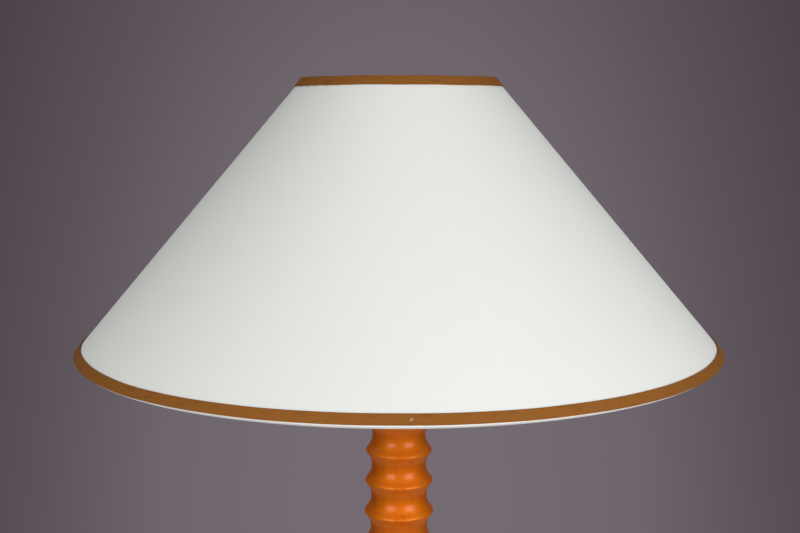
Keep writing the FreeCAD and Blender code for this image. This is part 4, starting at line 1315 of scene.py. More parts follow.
# ---- brass pieces
@dataclass
class Harp:
    """The bent harp, its locking sleeves, the threaded post on its crown, and the finial."""

    wire_radius: float = 0.0019
    foot_span: float = 0.054
    leg_straight: float = 0.023
    flare_angle: float = 24.0
    flare_radius: float = 0.022
    side_radius: float = 0.070
    shoulder_angle: float = 75.0
    shoulder_radius: float = 0.030
    crown_radius: float = 0.020
    top_flat: float = 0.014
    sleeve_bore: float = 0.00195
    sleeve_bead: float = 0.0004
    sleeve_bead_height: float = 0.0022
    post_radius: float = 0.0055
    flange_thickness: float = 0.002
    flange_room: float = 0.0001
    stud_radius: float = 0.0031
    thread_depth: float = 0.00035
    thread_pitch: float = 0.00094
    finial_base: float = 0.0076
    finial_base_height: float = 0.003
    base_bulge: float = 0.0012
    finial_waist: float = 0.0049
    waist_hollow: float = 0.0008
    finial_ball: float = 0.007
    bore_room: float = 0.00005
    bore_end_room: float = 0.0014

    def wire_line(self, bench: Bench) -> Array:
        """The harp's middle line: legs, flared sides, round shoulders, and a flat crown.

        Args:
            bench: Where they are fitted.

        Returns:
            (n, 3) points.
        """
        low, high = bench.low("harp_wire"), bench.high("harp_wire")
        half_width, top = high[0] - self.wire_radius, high[2] - self.wire_radius
        flare, shoulder = math.radians(self.flare_angle), math.radians(self.shoulder_angle)
        crown, bends = math.pi / 2 - shoulder, self.flare_radius + self.side_radius
        flare_run = (half_width - self.foot_span / 2 - bends * (1 - math.cos(flare))) / math.sin(flare)
        roof_run = (half_width - self.top_flat / 2 - self.shoulder_radius * (1 - math.cos(shoulder))
                    - self.crown_radius * math.sin(crown)) / math.cos(crown)
        roof_up = (self.shoulder_radius * math.sin(shoulder) + roof_run * math.sin(crown)
                   + self.crown_radius * (1 - math.cos(crown)))
        side_run = (top - low[2] - self.leg_straight - bends * math.sin(flare) - flare_run * math.cos(flare)
                    - roof_up)
        bends_up = ((self.flare_radius, -self.flare_angle), (self.side_radius, self.flare_angle),
                    (self.shoulder_radius, self.shoulder_angle), (self.crown_radius, 90.0 - self.shoulder_angle))
        runs = (flare_run, side_run, roof_run, self.top_flat, roof_run, side_run, flare_run, self.leg_straight)
        wire = BentWire(self.foot_span / 2, low[2], 90.0).straight(self.leg_straight)
        for bend, run in zip(bends_up + bends_up[::-1], runs):
            wire.turn(*bend).straight(run)
        return wire.line()

    def threaded(self, radius: float, bottom: float, top: float, sides: int = 48) -> Array:
        """A threaded stud, whose thread fades at its foot and at its chamfered end.

        Args:
            radius: Radius over the crests.
            bottom: Level of its foot.
            top: Level of its end.
            sides: Number of points round it.

        Returns:
            (rows, sides, 3) points, closed at the top.
        """
        z = np.linspace(bottom, top, int((top - bottom) / self.thread_pitch * 8))[:, None]
        a = angles_round(sides)
        chamfer = smooth_step((top - z) / self.thread_pitch)
        fade = smooth_step((z - bottom) / self.thread_pitch) * chamfer
        r = radius - self.thread_depth * (screw_groove(z, a, self.thread_pitch) * fade + (1 - chamfer))
        return np.concatenate([about_z(r, a, z), about_z(0.0, a, top)[None]])

    def build(self, bench: Bench) -> None:
        """Bends the wire, then makes the sleeves, post and finial.

        Args:
            bench: Where they are fitted.
        """
        wire = Skin().grid(tube(self.wire_line(bench), self.wire_radius, 24)).build("harp_wire_bent")
        bench.fit(wire, Body.ROOT, Slot.BRASS, "harp_wire")
        for side, body in ((-1, Body.SLEEVE_LEFT), (1, Body.SLEEVE_RIGHT)):
            node = "harp_" + body.value
            low, high = bench.low(node), bench.high(node)
            wall = (high[0] - low[0]) / 2 - self.sleeve_bead
            sleeve = Profile(self.sleeve_bore, low[2], ease=0.0002).line((wall, low[2]))
            sleeve.bulge(wall, low[2] + self.sleeve_bead_height, self.sleeve_bead)
            sleeve.line((wall, high[2] - self.sleeve_bead_height)).bulge(wall, high[2], self.sleeve_bead)
            sleeve.line((self.sleeve_bore, high[2]))
            points = turned(sleeve.loop(), 48) + np.array([side * self.foot_span / 2, 0.0, 0.0])
            bench.fit(Skin().grid(points, closed_rows=True).build(node + "_drawn"), body, Slot.BRASS, node)
        self.build_post(bench)
        self.build_finial(bench)

    def build_post(self, bench: Bench) -> None:
        """The post that the wire passes through, its flange and its threaded stud.

        Args:
            bench: Where they are fitted.
        """
        low, high = bench.low("harp_post"), bench.high("harp_post")
        seat, flange = bench.low("shade_spider")[2] - self.flange_room, high[0]
        post = Profile(0.0, low[2], ease=0.0003).line((self.post_radius, low[2]))
        post.line((self.post_radius, seat - self.flange_thickness), (flange, seat - self.flange_thickness),
                  (flange, seat), (self.stud_radius, seat))
        stud = self.threaded(self.stud_radius, seat, high[2])
        skin = Skin().grid(np.concatenate([turned(post.outline()[:-1], 48), stud]))
        bench.fit(skin.build("harp_post_turned"), Body.ROOT, Slot.BRASS, "harp_post")

    def build_finial(self, bench: Bench) -> None:
        """The ball finial: flared base, hollow waist and a ball, with its blind threaded hole.

        Args:
            bench: Where they are fitted.
        """
        bottom, top = bench.low("finial")[2], bench.high("finial")[2]
        bore, bore_top = self.stud_radius + self.bore_room, bench.high("harp_post")[2] + self.bore_end_room
        ball_level, base_top = top - self.finial_ball, bottom + self.finial_base_height
        ball_bottom = ball_level - math.sqrt(self.finial_ball ** 2 - self.finial_waist ** 2)
        knob = Profile(0.0, bore_top, ease=0.00025).line((bore, bore_top), (bore, bottom), (self.finial_base, bottom))
        knob.bulge(self.finial_base, base_top, self.base_bulge).line((self.finial_waist, base_top))
        knob.bulge(self.finial_waist, ball_bottom, -self.waist_hollow).round(0.0, top, (0.0, ball_level))
        bench.fit(turned_piece("finial_turned", knob, 72, closed=False), Body.FINIAL, Slot.BRASS, "finial")


@dataclass
class Socket:
    """The turn-key socket: spun cap, drawn shell with its lip, and the key."""

    tube_radius: float = 0.00515
    hub_radius: float = 0.008
    hub_height: float = 0.007
    shoulder_height: float = 0.010
    rim_height: float = 0.004
    cap_wall: float = 0.0008
    cap_bulge: float = 0.0024
    cap_web: float = 0.0011
    shell_radius: float = 0.0167
    shell_wall: float = 0.0006
    groove_room: float = 0.0001
    lip_bulge: float = 0.0009
    lip_height: float = 0.003
    bead_level: float = 0.30        # share of the shell's height
    bead_height: float = 0.0016
    bead_bulge: float = 0.0004
    drill_start: float = 0.002      # outside the shell
    drill_end: float = 0.004        # inside it
    key_hole_radius: float = 0.0042
    key_neck_radius: float = 0.0034
    key_shaft_radius: float = 0.0024
    key_thickness: float = 0.0032
    neck_gap: float = 0.0012        # from the shell to the key's neck
    neck_step: float = 0.0004
    neck_length: float = 0.0012
    spread_length: float = 0.0055
    tip_share: float = 0.14         # of the key's length, over which its end rounds off

    def build(self, bench: Bench) -> None:
        """Spins the cap, draws the shell and moulds the key.

        Args:
            bench: Where they are fitted.
        """
        bottom = bench.low("socket_cap")[2]
        hub_top = bottom + self.hub_height
        rim_bottom = hub_top + self.shoulder_height
        rim_top = rim_bottom + self.rim_height
        rim_inner = self.shell_radius + self.groove_room
        rim_outer = rim_inner + self.cap_wall
        cap = Profile(self.tube_radius, bottom, ease=0.0004)
        cap.line((self.hub_radius, bottom), (self.hub_radius, hub_top))
        cap.bulge(rim_outer, rim_bottom, self.cap_bulge, 18)
        cap.line((rim_outer, rim_top), (rim_inner, rim_top), (rim_inner, rim_bottom))
        cap.bulge(self.hub_radius, hub_top + self.cap_web, -self.cap_bulge, 18)
        cap.line((self.tube_radius, hub_top + self.cap_web))
        bench.fit(turned_piece("socket_cap_spun", cap, 96), Body.ROOT, Slot.BRASS, "socket_cap")

        low, high = bench.low("socket_shell")[2], bench.high("socket_shell")[2]
        outer, inner, lip = self.shell_radius, self.shell_radius - self.shell_wall, high - self.lip_height
        bead = low + self.bead_level * (high - low)
        shell = Profile(inner, low, ease=0.0002).line((outer, low), (outer, bead))
        shell.bulge(outer, bead + self.bead_height, self.bead_bulge, 8).line((outer, lip))
        shell.bulge(outer, high, self.lip_bulge).line((inner, high)).bulge(inner, lip, -self.lip_bulge)
        piece = turned_piece("socket_shell_drawn", shell, 128)
        key_low, key_high = bench.low("switch_key"), bench.high("switch_key")
        level = (key_low[2] + key_high[2]) / 2
        bored(piece, self.key_hole_radius, (0, -outer - self.drill_start, level), (0, self.drill_end - inner, level))
        bench.fit(piece, Body.ROOT, Slot.BRASS, "socket_shell")
        self.build_key(bench, key_low, key_high, level)

    def build_key(self, bench: Bench, low: Array, high: Array, level: float) -> None:
        """The key: a shaft that swells into a neck and spreads into a flat paddle.

        Each section is a superellipse: x = w |cos a|^p, z = h |sin a|^p with their signs. Half width w and
        half thickness h change along the key, and p falls to 0.6 on the paddle, where it is squarer.

        Args:
            bench: Where they are fitted.
            low: Lowest corner of the key.
            high: Its highest corner.
            level: Height of its middle line.
        """
        a = angles_round(40)
        share = np.concatenate([[0.0], np.linspace(0.0, 0.36, 6), np.linspace(0.38, 0.95, 30),
                                1.0 - 0.05 * (1 - np.linspace(0, 1, 10)) ** 2, [1.0]])
        y = high[1] + (low[1] - high[1]) * share
        neck = -self.shell_radius - self.neck_gap
        in_neck = smooth_step((neck - y) / self.neck_step)
        spread = smooth_step((neck - self.neck_length - y) / self.spread_length)
        tip = np.sqrt(1 - np.clip((share - 1 + self.tip_share) / self.tip_share, 0, 1) ** 2)
        stem = self.key_shaft_radius + (self.key_neck_radius - self.key_shaft_radius) * in_neck
        width = (stem + (high[0] - self.key_neck_radius) * spread) * (0.55 + 0.45 * tip)
        thick = (stem + (self.key_thickness / 2 - self.key_neck_radius) * spread) * (0.4 + 0.6 * tip)
        width[[0, -1]] = thick[[0, -1]] = 0.0
        power = (1.0 - 0.4 * spread)[:, None]
        x, z = width[:, None] * squarish(np.cos(a), power), thick[:, None] * squarish(np.sin(a), power)
        points = np.stack(np.broadcast_arrays(x, y[:, None], level + z), axis=-1)
        bench.fit(Skin().grid(points).build("switch_key_moulded"), Body.SWITCH_KEY, Slot.KEY, "switch_key")


@dataclass
class Bulb:
    """The bulb: solder tip, glass insulator, rolled screw base and soft white globe."""

    base_radius: float = 0.0129
    thread_depth: float = 0.0007
    thread_pitch: float = 0.00363
    thread_start: float = 0.001     # above the base's foot
    thread_end: float = 0.003       # under its top
    thread_fade: float = 0.002
    heel_height: float = 0.0014
    tip_radius: float = 0.0048
    tip_rise: float = 0.0009
    tip_bulge: float = 0.0003
    insulator_bulge: float = 0.0004
    neck_radius: float = 0.0134
    globe_radius: float = 0.030
    globe_height: float = 0.048
    glass: float = 0.0009

    def build(self, bench: Bench) -> None:
        """Builds the four pieces of the bulb on its own body.

        Args:
            bench: Where they are fitted.
        """
        tip_low, tip_high = bench.low("bulb_tip")[2], bench.high("bulb_tip")[2]
        base_low, base_high = bench.low("bulb_base")[2], bench.high("bulb_base")[2]
        shoulder = self.base_radius - (base_low - tip_high) / 2
        tip = Profile(0.0, tip_low, ease=0.0003).bulge(self.tip_radius, tip_low + self.tip_rise, self.tip_bulge)
        tip.line((self.tip_radius, tip_high), (0.0, tip_high))
        bench.fit(turned_piece("bulb_tip_soldered", tip, 48, closed=False), Body.BULB, Slot.SOLDER, "bulb_tip")
        insulator = Profile(0.0, tip_high, ease=0.0002).line((self.tip_radius, tip_high))
        insulator.bulge(shoulder, base_low, self.insulator_bulge).line((0.0, base_low))
        bench.fit(turned_piece("bulb_insulator_fused", insulator, 64, closed=False), Body.BULB, Slot.INSULATOR,
                  "bulb_insulator")
        self.build_base(bench, base_low, base_high, shoulder)
        sweep = (self.globe_height ** 2 + self.neck_radius ** 2 - self.globe_radius ** 2) / (
            2 * (self.globe_radius - self.neck_radius))
        share = self.globe_radius / (self.globe_radius + sweep)
        neck_centre, middle = (self.neck_radius + sweep, base_high), (0.0, base_high + self.globe_height)
        inset = 1 - self.glass / self.globe_radius
        globe = Profile(self.neck_radius, base_high)
        globe.round(neck_centre[0] * share, middle[1] - self.globe_height * share, neck_centre, 28)
        globe.round(0.0, middle[1] + self.globe_radius, middle, 44)
        inner = Profile(0.0, middle[1] + self.globe_radius - self.glass)
        inner.round(neck_centre[0] * share * inset, middle[1] - self.globe_height * share * inset, middle, 44)
        inner.round(self.neck_radius - self.glass, base_high, neck_centre, 28)
        outline = np.concatenate([inner.outline(), globe.outline()])
        bench.fit(Skin().grid(turned(outline, 96)).build("bulb_globe_blown"), Body.BULB, Slot.GLASS, "bulb_globe")

    def build_base(self, bench: Bench, bottom: float, top: float, shoulder: float) -> None:
        """The rolled screw base: a round thread whose radius is a cosine of height less the turn.

        Args:
            bench: Where they are fitted.
            bottom: Level of its foot.
            top: Level of its top.
            shoulder: Radius at its foot.
        """
        z, a = np.linspace(bottom, top, 90)[:, None], angles_round(96)
        fade = (smooth_step((z - bottom - self.thread_start) / self.thread_fade)
                * smooth_step((top - self.thread_end - z) / self.thread_fade))
        heel = (self.base_radius - shoulder) * (1 - smooth_step((z - bottom) / self.heel_height))
        r = self.base_radius - self.thread_depth * screw_groove(z, a, self.thread_pitch) * fade - heel
        foot, end = (about_z(0.0, a, level)[None] for level in (bottom, top))
        base = Skin().grid(np.concatenate([foot, about_z(r, a, z), end])).build("bulb_base_rolled")
        bench.fit(base, Body.BULB, Slot.BULB_METAL, "bulb_base")


# ---- shade
@dataclass
class Wall:
    """The shade's conical wall. A point is s down the slant, t out from the lining's inner face."""

    top_level: float
    bottom_radius: float = 0.278
    top_radius: float = 0.0819
    rise: float = 0.2315
    lining: float = 0.0006
    cloth: float = 0.0005
    glue: float = 0.00002
    lap_width: float = 0.013
    lap_rise: float = 0.00045
    lap_edge: float = 0.0007
    lap_foot: float = 0.0035
    lap_zone: float = 0.2           # radians each side of the lap where points lie closer
    swell_depth: float = 0.00011

    @property
    def run(self) -> float:
        """How much the radius grows from top to bottom."""
        return self.bottom_radius - self.top_radius

    @property
    def slant(self) -> float:
        """Length of the wall down its slope."""
        return math.hypot(self.run, self.rise)

    def place(self, s: Array, t: Array, azimuth: Array) -> Array:
        """The point in space: s moves along the slope and t square to it, both in the upright plane.

        Args:
            s: Metres down the slant.
            t: Metres out from the wall's inner face.
            azimuth: Angles round the wall.

        Returns:
            The points.
        """
        r = self.top_radius + (s * self.run + t * self.rise) / self.slant
        z = self.top_level - (s * self.rise - t * self.run) / self.slant
        return about_z(r, azimuth, z)

    def lap(self, s: Array, azimuth: Array) -> Array:
        """Rise of the glued lap at the back: the cloth's cut edge on one side, and a soft foot on the other.

        Args:
            s: Metres down the slant.
            azimuth: Angles round the wall.

        Returns:
            The rise at each point.
        """
        r = self.top_radius + s * self.run / self.slant
        off = (azimuth - BACK) * r
        step = smooth_step((off + self.lap_width / 2) / self.lap_edge)
        return self.lap_rise * step * smooth_step((self.lap_width / 2 - off) / self.lap_foot)

    def swell(self, s: Array, azimuth: Array) -> Array:
        """The wall's own unevenness: a few long waves of a tenth of a millimetre."""
        down = s / self.slant
        return self.swell_depth * (np.sin(3 * azimuth + 0.8) * down + 0.7 * np.sin(5 * azimuth + 2.1 + 2.0 * down)
                          + 0.5 * np.sin(9 * azimuth - 1.2 * down) * (1 - down))

    def cloth_map(self, s: Array, azimuth: Array) -> Array:
        """Where a point lies on the flat-cut cloth: the cone rolled out about its tip, front in the middle.

        Args:
            s: Metres down the slant.
            azimuth: Angles round the wall.

        Returns:
            Its place on the cloth, in metres.
        """
        sine = self.run / self.slant
        reach = s + self.top_radius / sine
        turn = (azimuth - FRONT) * sine
        return np.stack([reach * np.sin(turn), -reach * np.cos(turn)], axis=-1)

    def angles(self, count: int) -> Array:
        """Angles once round from lap to lap, closer together at the lap. The lap's own edge is at the end."""
        even = np.linspace(BACK - FULL_TURN + self.lap_zone, BACK - self.lap_zone, count)
        return np.concatenate([even, BACK + np.linspace(-self.lap_zone, self.lap_zone, 121)[1:-1]])


class Edge(Enum):
    """An edge of the shade's wall."""

    TOP = "upper"
    BOTTOM = "lower"


@dataclass
class Shade:
    """The shade: spider, lining, cloth, binding tapes and trims."""

    wire_radius: float = 0.00125
    tape: float = 0.00035
    tape_outside: float = 0.006
    tape_inside: float = 0.008
    fold_start: float = 0.0006
    fold_radius: float = 0.0008
    trim_width: float = 0.0087
    trim: float = 0.0007
    trim_squareness: tuple[float, float] = (0.12, 0.34)     # powers across its width and thickness
    reveal_front: float = 0.0004        # wall left free under the lower trim, in front
    reveal_side: float = -0.0006        # beyond the wall's edge elsewhere
    reveal_turn: float = math.radians(-4.0)
    reveal_pace: float = 2.2
    top_trim_width: float = 0.0091
    top_side_growth: float = 0.0009
    top_start: float = -0.00015
    top_side_drop: float = 0.0005
    waver: tuple[tuple[int, float, float], ...] = ((4, 0.5, 0.00016), (11, 0.0, 0.00010), (27, 0.0, 0.00006))
    hub_radius: float = 0.014
    hub_thickness: float = 0.004
    stud_hole: float = 0.00315
    bend_radius: float = 0.012
    slope: float = 30.0
    end_straight: float = 0.004
    weld: float = 0.0003            # from an arm's end to the middle of the ring's wire
    arm_count: int = 3
    sides: int = 420

    def build(self, bench: Bench) -> None:
        """Builds the shade's pieces.

        Args:
            bench: Where they are fitted.
        """
        lining_top = bench.high("shade_liner")[2]
        wall = Wall(top_level=lining_top)
        wall.top_level = lining_top - wall.lining * wall.run / wall.slant
        self.build_spider(bench)
        self.build_lining(bench, wall)
        cloth = self.build_cloth(bench, wall)
        tapes = [self.build_tape(bench, wall, edge) for edge in Edge]
        trims = [self.build_trim(bench, wall, edge) for edge in Edge]

    def build_spider(self, bench: Bench) -> None:
        """The welded carrier: ring, bent arms, and the drilled hub that sits on the harp's flange.

        Args:
            bench: Where they are fitted.
        """
        low, high = bench.low("shade_spider"), bench.high("shade_spider")
        ring_radius, ring_level = high[0] - self.wire_radius, high[2] - self.wire_radius
        hub_middle = low[2] + self.hub_thickness / 2
        slope = math.radians(self.slope)
        bend_up = 2 * self.bend_radius * (1 - math.cos(slope))
        slope_run = (ring_level - hub_middle - bend_up) / math.sin(slope)
        flat_run = (ring_radius - self.weld - self.end_straight - slope_run * math.cos(slope)
                    - 2 * self.bend_radius * math.sin(slope) - self.hub_radius / 2)
        arm = BentWire(self.hub_radius / 2, hub_middle, 0.0).straight(flat_run)
        arm.turn(self.bend_radius, self.slope).straight(slope_run)
        arm.turn(self.bend_radius, -self.slope).straight(self.end_straight)
        rod = tube(arm.line(), self.wire_radius, 20)
        hub_top = low[2] + self.hub_thickness
        hub = Profile(self.stud_hole, low[2], ease=0.0006)
        hub.line((self.hub_radius, low[2]), (self.hub_radius, hub_top), (self.stud_hole, hub_top))
        turn = angles_round(24)
        ring = np.array([ring_radius, ring_level]) + self.wire_radius * np.stack([np.cos(turn), np.sin(turn)], axis=1)
        skin = Skin().grid(turned(hub.loop(), 72), closed_rows=True).grid(turned(ring, 180), closed_rows=True)
        for copy in range(self.arm_count):
            skin.grid(turned_about_z(rod, BACK + FULL_TURN * copy / self.arm_count))
        bench.fit(skin.build("shade_spider_welded"), Body.SHADE, Slot.WIRE, "shade_spider")

    def layer(self, wall: Wall, section: Callable[[Array], tuple[Array, Array]], rows: int,
              map_of: Callable[[Array, Array], Array] | None = None) -> Skin:
        """One closed layer of the wall, all the way round.

        Args:
            wall: The wall that it lies on.
            section: Gives (s, t), each (rows, 1 or columns), for a row of azimuths; a closed loop.
            rows: Number of points round the section.
            map_of: The map at (s, azimuth), if the finish needs one.

        Returns:
            The skin, with faces outwards.
        """
        azimuth = wall.angles(self.sides)[None]
        s, t = (np.broadcast_to(part, (rows, azimuth.shape[1])) for part in section(azimuth))
        points = wall.place(s, t + wall.swell(s, azimuth) + wall.lap(s, azimuth), azimuth)
        flat_map = None
        if map_of is not None:
            around = np.append(azimuth, azimuth[:, :1] + FULL_TURN, axis=1)
            closed = np.pad(s, ((0, 1), (0, 1)), mode="wrap")
            flat_map = map_of(closed, np.broadcast_to(around, closed.shape))
        r, z = np.hypot(points[:, 0, 0], points[:, 0, 1]), points[:, 0, 2]
        if (r * np.roll(z, -1) - np.roll(r, -1) * z).sum() < 0:
            points = np.roll(points[::-1], 1, axis=0)
            flat_map = None if flat_map is None else flat_map[::-1]
        return Skin().grid(points, closed_rows=True, flat_map=flat_map)

    def build_lining(self, bench: Bench, wall: Wall) -> None:
        """The stiff lining: a smooth cone with a glued lap inside.

        Args:
            bench: Where they are fitted.
            wall: The wall that it lies on.
        """
        down = np.concatenate([np.linspace(wall.slant, 0.0, 40), np.linspace(0.0, wall.slant, 40)])[:, None]
        out = np.repeat([wall.lining, 0.0], 40)[:, None]
        skin = self.layer(wall, lambda azimuth: (down, out), 80)
        bench.fit(skin.build("shade_lining_rolled"), Body.SHADE, Slot.LINING, "shade_liner")

    def build_cloth(self, bench: Bench, wall: Wall) -> Piece:
        """The cloth cover, with its map in metres of the flat cloth.

        Args:
            bench: Where they are fitted.
            wall: The wall that it lies on.

        Returns:
            The piece.
        """
        inner = wall.lining + wall.glue
        down = np.concatenate([np.linspace(wall.slant, 0.0, 48), np.linspace(0.0, wall.slant, 24)])[:, None]
        out = np.concatenate([np.full(48, inner + wall.cloth), np.full(24, inner)])[:, None]
        skin = self.layer(wall, lambda azimuth: (down, out), 72, wall.cloth_map)
        return bench.fit(skin.build("shade_cloth_cover"), Body.SHADE, Slot.CLOTH, "shade_cover")

    def from_edge(self, wall: Wall, edge: Edge, u: Array) -> Array:
        """Turns a distance in from an edge of the wall into one down from the wall's top."""
        return u if edge is Edge.TOP else wall.slant - u

    def build_tape(self, bench: Bench, wall: Wall, edge: Edge) -> Piece:
        """The folded white tape: out over the cloth, round the ring, and back onto the lining.

        Args:
            bench: Where they are fitted.
            wall: The wall that it lies on.
            edge: The edge that it binds.

        Returns:
            The piece.
        """
        face = wall.lining + wall.cloth + 2 * wall.glue + self.tape / 2
        ring = self.wire_radius + wall.glue
        reach = ring + self.tape / 2
        bend, turn = np.linspace(0.0, math.pi / 2, 6)[1:], np.linspace(math.pi, 1.5 * math.pi, 10)
        line = np.concatenate([
            [[self.tape_outside, face], [self.tape_outside / 2, face], [self.fold_start, face]],
            np.stack([self.fold_start - self.fold_radius * np.sin(bend),
                      face - self.fold_radius * (1 - np.cos(bend))], axis=1),
            np.stack([ring + reach * np.cos(turn), -ring + reach * np.sin(turn)], axis=1),
            [[0.5 * (ring + self.tape_inside), -0.55 * (ring + reach)],
             [self.tape_inside, -wall.glue - self.tape / 2]]])
        along = np.gradient(line, axis=0)
        along /= np.linalg.norm(along, axis=1, keepdims=True)
        side = np.stack([along[:, 1], -along[:, 0]], axis=1) * self.tape / 2
        loop = np.concatenate([line + side, (line - side)[::-1]])
        lengths = lengths_along(loop)
        skin = self.layer(
            wall, lambda azimuth: (self.from_edge(wall, edge, loop[:, :1]), loop[:, 1:]), len(loop),
            lambda s, azimuth: np.stack([azimuth * wall.bottom_radius, np.append(lengths, lengths[-1])[:, None]
                                         + 0 * azimuth], axis=-1))
        return bench.fit(skin.build(edge.value + "_tape_folded"), Body.SHADE, Slot.TAPE, edge.value + "_tape")

    def trim_band(self, edge: Edge, azimuth: Array) -> tuple[Array, Array]:
        """Where the trim starts, in from the wall's edge, and how wide it is.

        The lower trim leaves a little of the tape free in front, by a cosine of the azimuth. The upper one is
        wider at the sides, by the square of the sine. Both waver, as a strip does that was glued on by hand.

        Args:
            edge: The edge that it binds.
            azimuth: Angles round the wall.

        Returns:
            The start and the width at each angle.
        """
        waver = sum(depth * np.sin(count * azimuth + phase) for count, phase, depth in self.waver)
        off = azimuth - FRONT
        if edge is Edge.TOP:
            side = np.sin(off) ** 2
            dip = np.exp(-((off + 0.85) / 0.25) ** 2) * (0.55 + 0.45 * np.sin(46 * azimuth))
            return (self.top_start + self.top_side_drop * side + waver + 0.0005 * dip,
                    self.top_trim_width + self.top_side_growth * side)
        off = (off - self.reveal_turn + math.pi) % FULL_TURN - math.pi
        facing = np.cos(np.clip(self.reveal_pace * off, -math.pi / 2, math.pi / 2))
        return (self.reveal_side + (self.reveal_front - self.reveal_side) * facing + 0.7 * waver,
                self.trim_width + 0.0001 * np.sin(7 * azimuth + 1.0))

    def build_trim(self, bench: Bench, wall: Wall, edge: Edge) -> Piece:
        """A brown strip with rounded edges, glued over the tape.

        Its section is a superellipse across the width and the thickness: nearly a flat band.

        Args:
            bench: Where they are fitted.
            wall: The wall that it lies on.
            edge: The edge that it binds.

        Returns:
            The piece.
        """
        inner = wall.lining + wall.cloth + 3 * wall.glue + self.tape
        turn = angles_round(40)[:, None]
        across, up = squarish(np.cos(turn), self.trim_squareness[0]), squarish(np.sin(turn), self.trim_squareness[1])
        radius = wall.bottom_radius if edge is Edge.BOTTOM else wall.top_radius

        def section(azimuth: Array) -> tuple[Array, Array]:
            """The strip's loop at each azimuth."""
            start, width = self.trim_band(edge, azimuth)
            u = start + width * (0.5 + 0.5 * across)
            return self.from_edge(wall, edge, u), inner + self.trim * (0.5 + 0.5 * up) + 0 * azimuth

        def strip_map(s: Array, azimuth: Array) -> Array:
            """Metres along the strip from its front, and across it."""
            share = np.append(across, across[:1], axis=0) * 0.5 + 0.5
            start = 0.0 if edge is Edge.BOTTOM else FULL_TURN * radius
            return np.stack([(azimuth - FRONT) * radius + start, share * self.trim_width + 0 * azimuth], axis=-1)

        skin = self.layer(wall, section, len(turn), strip_map)
        return bench.fit(skin.build(edge.value + "_trim_strip"), Body.SHADE, Slot.TRIM, edge.value + "_trim")


# ---- studio
@dataclass(frozen=True)
class SoftBox:
    """A square soft box: degrees round from the camera's side, watts, and metres across."""

    name: str
    azimuth: float
    power: float
    size: float


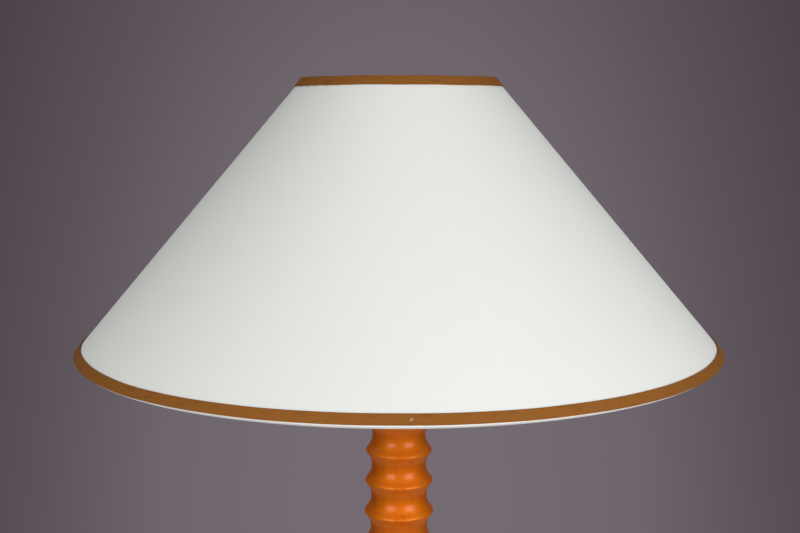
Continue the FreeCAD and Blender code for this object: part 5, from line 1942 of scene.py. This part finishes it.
@dataclass
class Studio:
    """The plain setting: a pale floor, two soft boxes, even light from all round, and the camera."""

    floor_radius: float = 2.2
    floor_colour: Colour = (0.62, 0.605, 0.61)
    ambient: float = 0.29
    daylight: Colour = (0.975, 1.0, 0.965)
    # the backdrop's stops are painted light: brightest straight behind the lamp, darker further off
    backdrop: tuple[tuple[float, Colour], ...] = (
        (0.08, (0.176, 0.147, 0.170)), (0.19, (0.156, 0.132, 0.151)), (0.28, (0.107, 0.088, 0.102)),
        (0.40, (0.060, 0.046, 0.057)))
    backdrop_shift: tuple[float, float, float] = (0.0, 0.0, 0.17)
    backdrop_scale: tuple[float, float, float] = (1.0, 0.0, 0.5)
    boxes: tuple[SoftBox, ...] = (SoftBox("left", -31.0, 11.4, 0.82), SoftBox("right", 42.0, 15.8, 0.98))
    box_distance: float = 1.7
    box_elevation: float = 13.0         # degrees above the rings under the shade
    aim: float = 1.22                   # level that the boxes point at
    camera_distance: float = 1.040
    camera_rise: float = 0.2165         # above the shade's lower edge
    camera_shift: float = 0.0010
    camera_tilt: float = 8.15           # degrees down
    camera_lens: float = 53.55          # on a 36 mm wide film

    def build(self, bench: Bench) -> None:
        """Sets up camera, world, lights and floor.

        Args:
            bench: Where they are fitted.
        """
        self.place_camera(bench.low("shade_liner")[2])
        self.light_world()
        for box in self.boxes:
            self.hang(box)
        self.lay_floor()
        bpy.context.scene.view_settings.view_transform = "Standard"

    def place_camera(self, rim: float) -> None:
        """Stands the camera in front of the lamp, looking a little down.

        Args:
            rim: Level of the shade's lower edge.
        """
        data = bpy.data.cameras.new("camera")
        data.lens, data.sensor_width = self.camera_lens, 36.0
        camera = bpy.data.objects.new("camera", data)
        camera.location = (self.camera_shift, -self.camera_distance, rim + self.camera_rise)
        camera.rotation_euler = (math.radians(90.0 - self.camera_tilt), 0.0, 0.0)
        bpy.context.scene.collection.objects.link(camera)
        bpy.context.scene.camera = camera

    def hang(self, box: SoftBox) -> None:
        """Hangs a square soft box on its side of the camera, turned to the lamp.

        Args:
            box: The box to hang.
        """
        light = bpy.data.lights.new(box.name + "_soft_box", "AREA")
        light.shape, light.size, light.energy = "SQUARE", box.size, box.power
        lamp = bpy.data.objects.new(light.name, light)
        turn, up = math.radians(box.azimuth), math.radians(self.box_elevation)
        reach = self.box_distance * math.cos(up)
        lamp.location = (reach * math.sin(turn), -reach * math.cos(turn), self.aim + self.box_distance * math.sin(up))
        lamp.rotation_euler = (math.pi / 2 - up, 0.0, turn)
        bpy.context.scene.collection.objects.link(lamp)

    def light_world(self) -> None:
        """Lights evenly from all round; the eye, mirrors and glass see a mauve-grey backdrop instead.

        The backdrop's tone falls off with the direction's distance from straight behind the lamp: a painted pool of
        light, brightest behind the lamp.
        """
        world = bpy.data.worlds.new("studio")
        bpy.context.scene.world = world
        world.use_nodes = True
        g = Graph(world.node_tree)
        g.tree.nodes.clear()
        away = g.node("ShaderNodeMapping", {"Vector": g.node("ShaderNodeTexCoord").outputs["Generated"],
                                            "Location": self.backdrop_shift, "Scale": self.backdrop_scale}).outputs[0]
        # painted light: the backdrop's tone, brightest straight behind the lamp
        tone = g.ramp(g.vector("LENGTH", {0: away}), *self.backdrop)
        seen = g.node("ShaderNodeBackground", {"Color": tone}).outputs[0]
        lit = g.node("ShaderNodeBackground", {"Color": (*self.daylight, 1.0), "Strength": self.ambient}).outputs[0]
        ray = g.node("ShaderNodeLightPath").outputs
        direct = g.sum("MAXIMUM", ray["Is Camera Ray"], ray["Is Glossy Ray"])
        mix = g.node("ShaderNodeMixShader", {0: g.sum("MAXIMUM", direct, ray["Is Transmission Ray"]), 1: lit, 2: seen})
        g.node("ShaderNodeOutputWorld", {0: mix.outputs[0]})

    def lay_floor(self) -> None:
        """Lays a round pale floor that fades out towards its edge, just under the lamp."""
        rings = self.floor_radius * np.array([0.0, 0.1, 0.25, 0.5, 0.75, 1.0])
        outline = np.stack([rings[::-1], np.full(len(rings), -0.0002)], axis=1)
        floor = Skin().grid(turned(outline, 96)).build("floor")
        s = Shader("pale_floor", Roughness=0.7, Specular_IOR_Level=0.2)
        away = s.vector("LENGTH", {0: s.at()})
        grain = s.noise(40.0)
        s.feed(Base_Color=s.ramp(grain, (0.3, tuple(0.97 * c for c in self.floor_colour)), (0.7, self.floor_colour)),
               Alpha=s.span(away, 0.55 * self.floor_radius, 0.98 * self.floor_radius, 1.0, 0.0))
        floor.data.materials.append(s.material)
        floor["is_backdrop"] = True


def corners() -> list[list[float]]:
    """The box of what shows, as plain numbers."""
    return [[float(value) for value in corner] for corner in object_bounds()]


def main() -> None:
    """Builds the lamp's pieces in order and sets the studio."""
    logging.basicConfig(level=logging.INFO, format="%(message)s", stream=sys.stdout)
    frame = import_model()
    bench = Bench(frame)
    Studio().build(bench)
    rings, foot = RingSeries(), Foot()
    foot.build(bench)
    Bell(rings).build(bench, foot)
    Shaft(rings).build(bench)
    Capital(rings).build(bench)
    Harp().build(bench)
    Socket().build(bench)
    Bulb().build(bench)
    Shade().build(bench)
    bench.dress_nodes()


if __name__ == "__main__":
    main()
